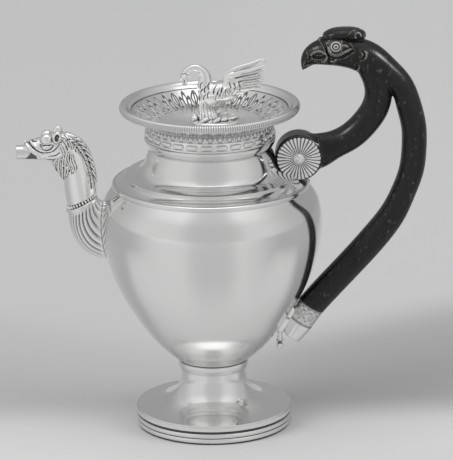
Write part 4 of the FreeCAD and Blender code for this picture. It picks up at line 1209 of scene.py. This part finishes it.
def swan_body():
    clay = Clay("swan_body", 0.26)
    clay.origin = swan_floor
    clay.lump(swan_core, (13.0, 8.0, 7.0), 8)
    clay.limb(swan_neck, 80, 1.5)
    clay.lump((19.5, 0, swan_core[2] + 1), (6.0, 5.0, 2.4), 14, 0.6)
    clay.groove([(-17.4, 30.8), (-15.0, 31.4), (-13.4, 30.2)], 0.35, 0.35)
    clay.stud((-15.2, 30.0), (0.55, 0.4, 0.55))
    clay.groove([(-16.9, 27.9), (-15.4, 27.2), (-14.0, 27.6)], 0.3, 0.2)
    clay.groove([(-15.6, 27.0), (-15.3, 24.0)], 0.3, 0.3, 10)
    hanging = [[(7.0, 22.4), (4.4, 19.0), (3.6, 15.8)], [(10.8, 22.6), (8.6, 19.4), (7.8, 16.4)],
               [(14.6, 23.0), (13.0, 20.6), (12.2, 18.6)], [(18.6, 23.4), (17.6, 21.4), (17.2, 19.8)]]
    for places in hanging:
        clay.blade(places, 2.0, 1.0, (0.35, 0.05), (0.35, 0.4))
    for k in range(7):
        x = 1.6 + 2.5 * k
        top = 24.0 + 0.3 * k - 1.1 * (k % 2)
        clay.groove([(x + 2.6, top), (x + 1.2, top - 2.0), (x + 0.9, top - 4.2)], 0.4, 0.5)
    for x, z in ((-5.6, 20.0), (-4.0, 16.6), (-6.0, 24.0), (-1.6, 18.6), (-3.4, 21.6), (-1.0, 23.8)):
        clay.groove([(x + 1.4, z + 1.8), (x + 0.2, z), (x + 0.5, z - 2.0)], 0.4, 0.5)
    clay.cast("swan_body_cast", "swan_body", 5.5)


def wing_place(u, w, out=0.0):
    """Point of the near wing from its own length, height and distance out of its plane."""
    along = u - wing_root[0]
    x = wing_root[0] + along * math.cos(wing_splay) - out * math.sin(wing_splay)
    y = wing_root[1] - along * math.sin(wing_splay) - out * math.cos(wing_splay)
    return np.array([x, y, w])


def wing_line(places):
    """Side view of a line on the near wing."""
    return [wing_place(u, w)[[0, 2]] for u, w in places]


def swan_wings():
    clay = Clay("swan_wing_left", 0.24)
    clay.origin = swan_floor
    steps = 26
    blades = [(2.2, [(10.6, 28.0), (19.6, 31.6), (27.5, 33.6), (35.0, 36.6)]),
              (2.1, [(12.0, 26.0), (20.0, 28.8), (27.5, 30.2), (34.4, 32.0)]),
              (2.0, [(12.6, 23.6), (20.2, 25.8), (27.0, 26.9), (33.6, 28.4)]),
              (1.8, [(12.0, 20.8), (19.6, 22.4), (26.4, 23.4), (32.2, 24.6)])]
    taper = np.interp(np.linspace(0, 1, steps), [0, 0.2, 0.8, 0.93, 1], [0.7, 1, 1, 0.8, 0.35])
    curves = [spline(places, steps) for _, places in blades]
    for k, (wide, _) in enumerate(blades):
        clay.rod([wing_place(u, w, 0.5 - 0.3 * k) for u, w in curves[k]], wide * taper, squash=0.45)
    for upper, lower in zip(curves, curves[1:]):
        clay.groove(wing_line(0.5 * (upper + lower)[6:25:6]), 0.55, 0.7, 30)
    for curve in curves:
        clay.groove(wing_line(curve[10:24:4]), 0.3, 0.25, 20)
    clay.lump(wing_place(13.6, 24.6), (6.4, 2.2, 4.9), 38, 0.3)
    for row in range(3):
        u, w = 12.4 + 3.0 * row, 26.6 - 0.2 * row
        clay.groove(wing_line([(u, w), (u + 0.8, w - 3.0), (u + 0.2, w - 6.0)]), 0.4, 0.45, 16)
    points, faces, hollow = clay.mesh(5.0)
    near = points[:, 1] < 0
    for name, kept, replaced in (("swan_wing_near_cast", near, "swan_wing_left"),
                                 ("swan_wing_far_cast", ~near, "swan_wing_right")):
        number = np.cumsum(kept) - 1
        part = number[faces[kept[faces].all(1)]]
        piece(name, replaced, points[kept], part, worked, crease=0, hollow=hollow[kept])


def swan_base():
    """Mound with leaves, and the bundle of reeds that carries the swan."""
    clay = Clay("swan_base", 0.28)
    clay.origin = swan_floor
    reeds_h = 13.4
    clay.lump((4.0, 0, 0), (16.8, 11.8, 2.5))
    foot = np.array([-1.2, 0, 0.6])
    for turn in np.linspace(0, math.pi, 9):
        low_end = foot + (5.4 * math.cos(turn), -4.6 * math.sin(turn), 0)
        high_end = foot + (0.8 + 4.2 * math.cos(turn + 0.5), -3.6 * abs(math.sin(turn + 0.3)), reeds_h)
        waist = 0.5 * (low_end + high_end) + (-0.7 - 0.6 * math.cos(turn), 0.7 * math.sin(turn), 0)
        clay.rod(spline([low_end, waist, high_end], 16, 3), np.linspace(1.7, 1.3, 16))
    clay.rod([foot, foot + (0.8, 0, reeds_h)], [4.0, 3.2])
    clay.lump((-9.6, -2.0, 2.2), (2.3, 2.3, 2.2), 0, 0.4)
    leaves = [(8.0, -6.4, 20), (12.6, -3.6, 12), (4.0, -8.2, 40), (14.0, 0.0, 0), (-4.0, -7.4, 30),
              (8.6, -1.0, 5)]
    for x, y, lean in leaves:
        clay.lump((x, y, 2.1), (3.6, 1.7, 1.4), lean, 0.3)
    clay.carve(clay.blob(swan_core, (12.9, 7.9, 6.9), 8))
    bottom = swan_floor[2] + 0.02
    top = swan_floor[2] + swan_core[2] - 1
    clay.carve(lambda x, y, z: z - bottom)
    clay.carve(lambda x, y, z: top - z)
    clay.cast("swan_base_cast", "swan_base", 6.0)


# Studio, in metres: a light tent whose greys go by bearing, round a pale table

floor_front = 0.60
# painted shadow of the pot on the table, darker on the right
floor_shadow = (0.46, 0.39)                   # left and right of the pot
floor_far = (0.50, 0.52)
floor_left_right = (-0.03, 0.07)
floor_shadow_start = (-0.012, 0.048)
floor_shadow_end = (0.085, 0.175)
floor_shadow_slant = -0.6
floor_fade_front = (-0.20, -0.05)
floor_fade_beside = (0.17, 0.45)
# painted light and shade on the table's outer part: bright where the tent's panels would light it, dim at the
# gap and behind
floor_tent = {"panel": 0.60, "front": 0.49, "side": 0.40, "back": 0.37, "gap": 0.86, "sides": (-0.05, 0.65)}
walls = {"panel": 0.68, "front": 0.54, "side": 0.50, "back": 0.36, "gap": 0.74, "sides": (-0.5, 0.35)}
ceiling = {**walls, "panel": 0.89, "front": 0.60, "side": 0.66, "back": 0.53}
ceiling_start = (0.45, 0.95)
roof_panel = 1.6
roof_panel_edge = (0.88, 0.97)
lamp_target = (0, 0, 0.12)
sheen_target = (0.09, 0, 0.19)
sheen_size = (0.45, 0.45)
sheens = {"sheen_right": ((1.40, -0.74, 1.24), 18), "sheen_left": ((-1.18, -0.79, 1.43), 9)}


def tent_tone(shader, x, towards, tent):
    """Grey of the tent by bearing: panels left and right of the camera, dim behind and at the gap in front."""
    turned_right = shader.maths("MULTIPLY", shader.smooth(x, (-0.2, 0.2)), -0.3)
    lean = shader.maths("ADD", towards, turned_right)
    tone = shader.mix(shader.smooth(lean, (-0.95, -0.55)), tent["back"], tent["side"])
    tone = shader.mix(shader.smooth(lean, tent["sides"]), tone, tent["panel"])
    return shader.mix(shader.smooth(towards, (1.0, tent["gap"])), tent["front"], tone)


def bearing(shader, source):
    """Level direction of a vector, as its X and its share towards the camera."""
    level = shader.add("VectorMath", {0: source, 1: (1, -1, 0)}, operation="MULTIPLY")["Vector"]
    unit = shader.add("VectorMath", {0: level}, operation="NORMALIZE")["Vector"]
    parts = shader.parts(unit)
    return parts["X"], parts["Y"]


def studio_floor():
    """Pale table with a painted soft shadow behind the pot; further out it is painted in the tent's light and
    shade by bearing.
    """
    bpy.ops.mesh.primitive_plane_add(size=8)
    table_top = bpy.context.object
    table_top.name = "studio_floor"
    made, shader = new_material("studio_floor")
    place = shader.add("NewGeometry", {})["Position"]
    parts = shader.parts(place)
    x, y = parts["X"], parts["Y"]
    right = shader.smooth(x, floor_left_right)
    beside = shader.maths("ABSOLUTE", x, 0)
    behind = shader.maths("ADD", y, shader.maths("MULTIPLY", beside, floor_shadow_slant))
    # painted shadow of the pot: a darker band behind it, with a slanted back edge
    tone = shader.mix(shader.smooth(y, floor_shadow_start), floor_front, shader.mix(right, *floor_shadow))
    tone = shader.mix(shader.smooth(behind, floor_shadow_end), tone, shader.mix(right, *floor_far))
    # painted light: the table's outer part takes the tent's greys by bearing
    around = tent_tone(shader, *bearing(shader, place), floor_tent)
    outside = shader.maths("MAXIMUM", shader.smooth(y, floor_fade_front, (1, 0)),
                           shader.smooth(beside, floor_fade_beside))
    shader.finish({"Base Color": shader.mix(outside, tone, around),
                   "Roughness": 0.9,
                   "Specular IOR Level": 0.1})
    table_top.data.materials.append(made)


def studio_world():
    """Light tent: walls by bearing, paler above, with a bright panel in the roof."""
    world = bpy.data.worlds.new("light_tent")
    bpy.context.scene.world = world
    shader = Shader(world)
    place = shader.add("TexCoord", {})["Generated"]
    up = shader.parts(place)["Z"]
    bearings = bearing(shader, place)
    tone = shader.mix(shader.smooth(up, ceiling_start), tent_tone(shader, *bearings, walls),
                      tent_tone(shader, *bearings, ceiling))
    tone = shader.mix(shader.smooth(up, roof_panel_edge), tone, roof_panel)
    shader.feed(shader.nodes["Background"], {"Color": tone})


def softbox(name, place, target, size, power, mirrored):
    """Soft lamp that shows in shiny surfaces only where it is mirrored."""
    lamp = bpy.data.lights.new(name, "AREA")
    lamp.shape = "RECTANGLE"
    lamp.size, lamp.size_y = size
    lamp.energy = power
    made = bpy.data.objects.new(name, lamp)
    bpy.context.scene.collection.objects.link(made)
    made.location = place
    made.visible_glossy = mirrored
    made.rotation_euler = (Vector(target) - Vector(place)).to_track_quat("-Z", "Y").to_euler()
    return made


def studio_lamps(wood):
    """Two large lamps for the whole pot, and two small ones that reach the wood alone."""
    softbox("softbox_left", (-6.0, -3.6, 4.84), lamp_target, (4.8, 4.8), 320, False)
    softbox("softbox_right", (6.4, -2.4, 4.04), lamp_target, (4.0, 4.8), 205, False)
    lit = bpy.data.collections.new("lit_by_sheen")
    lit.objects.link(wood)
    for name, (place, power) in sheens.items():
        sheen = softbox(name, place, sheen_target, sheen_size, power, True)
        sheen.light_linking.receiver_collection = lit


def camera():
    """Long lens, square to the pot's side and looking down on it."""
    elevation = math.radians(16.9)
    roll = math.radians(0.85)
    distance = 3.0
    target = Vector((0, 0, 0.125))
    picture = 460                           # longer side of the picture that the shifts are counted in
    data = bpy.data.cameras.new("camera")
    data.sensor_width = 36
    data.lens = 372.7
    data.shift_x = 15.0 / picture
    data.shift_y = 2.3 / picture
    data.clip_end = 50
    made = bpy.data.objects.new("camera", data)
    bpy.context.scene.collection.objects.link(made)
    back = Vector((0, -math.cos(elevation), math.sin(elevation)))
    made.location = target + back * distance
    aim = (-back).to_track_quat("-Z", "Y").to_matrix()
    made.rotation_euler = (aim @ Matrix.Rotation(-roll, 3, "Z")).to_euler()
    bpy.context.scene.camera = made


def cad_materials():
    """Finish on the CAD nodes."""
    finishes = {"handle_wood": dark_wood, "eye_inlays": bone}
    for name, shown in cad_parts.items():
        shown.data.materials.clear()
        shown.data.materials.append(finishes.get(name, polished))


cad_materials()
for make in (foot_rim, foot_pedestal, stem_collar, body_shell, shoulder_band, neck, mouth_ring,
             lid_flange, lid_gallery, lid_dish, lid_rim, lid_beads,
             handle_socket, socket_band, socket_finial, socket_bracket,
             spout_base, spout_head, spout_tube, spout_beads, eye_inlays, swan_base, swan_body, swan_wings):
    make()
carved_handle = handle_wood()
rosette("rosette_front_fluted", -1, "rosette_front")
rosette("rosette_rear_fluted", 1, "rosette_rear")
studio_floor()
studio_world()
studio_lamps(carved_handle)
camera()
bpy.context.scene.view_settings.view_transform = "Standard"
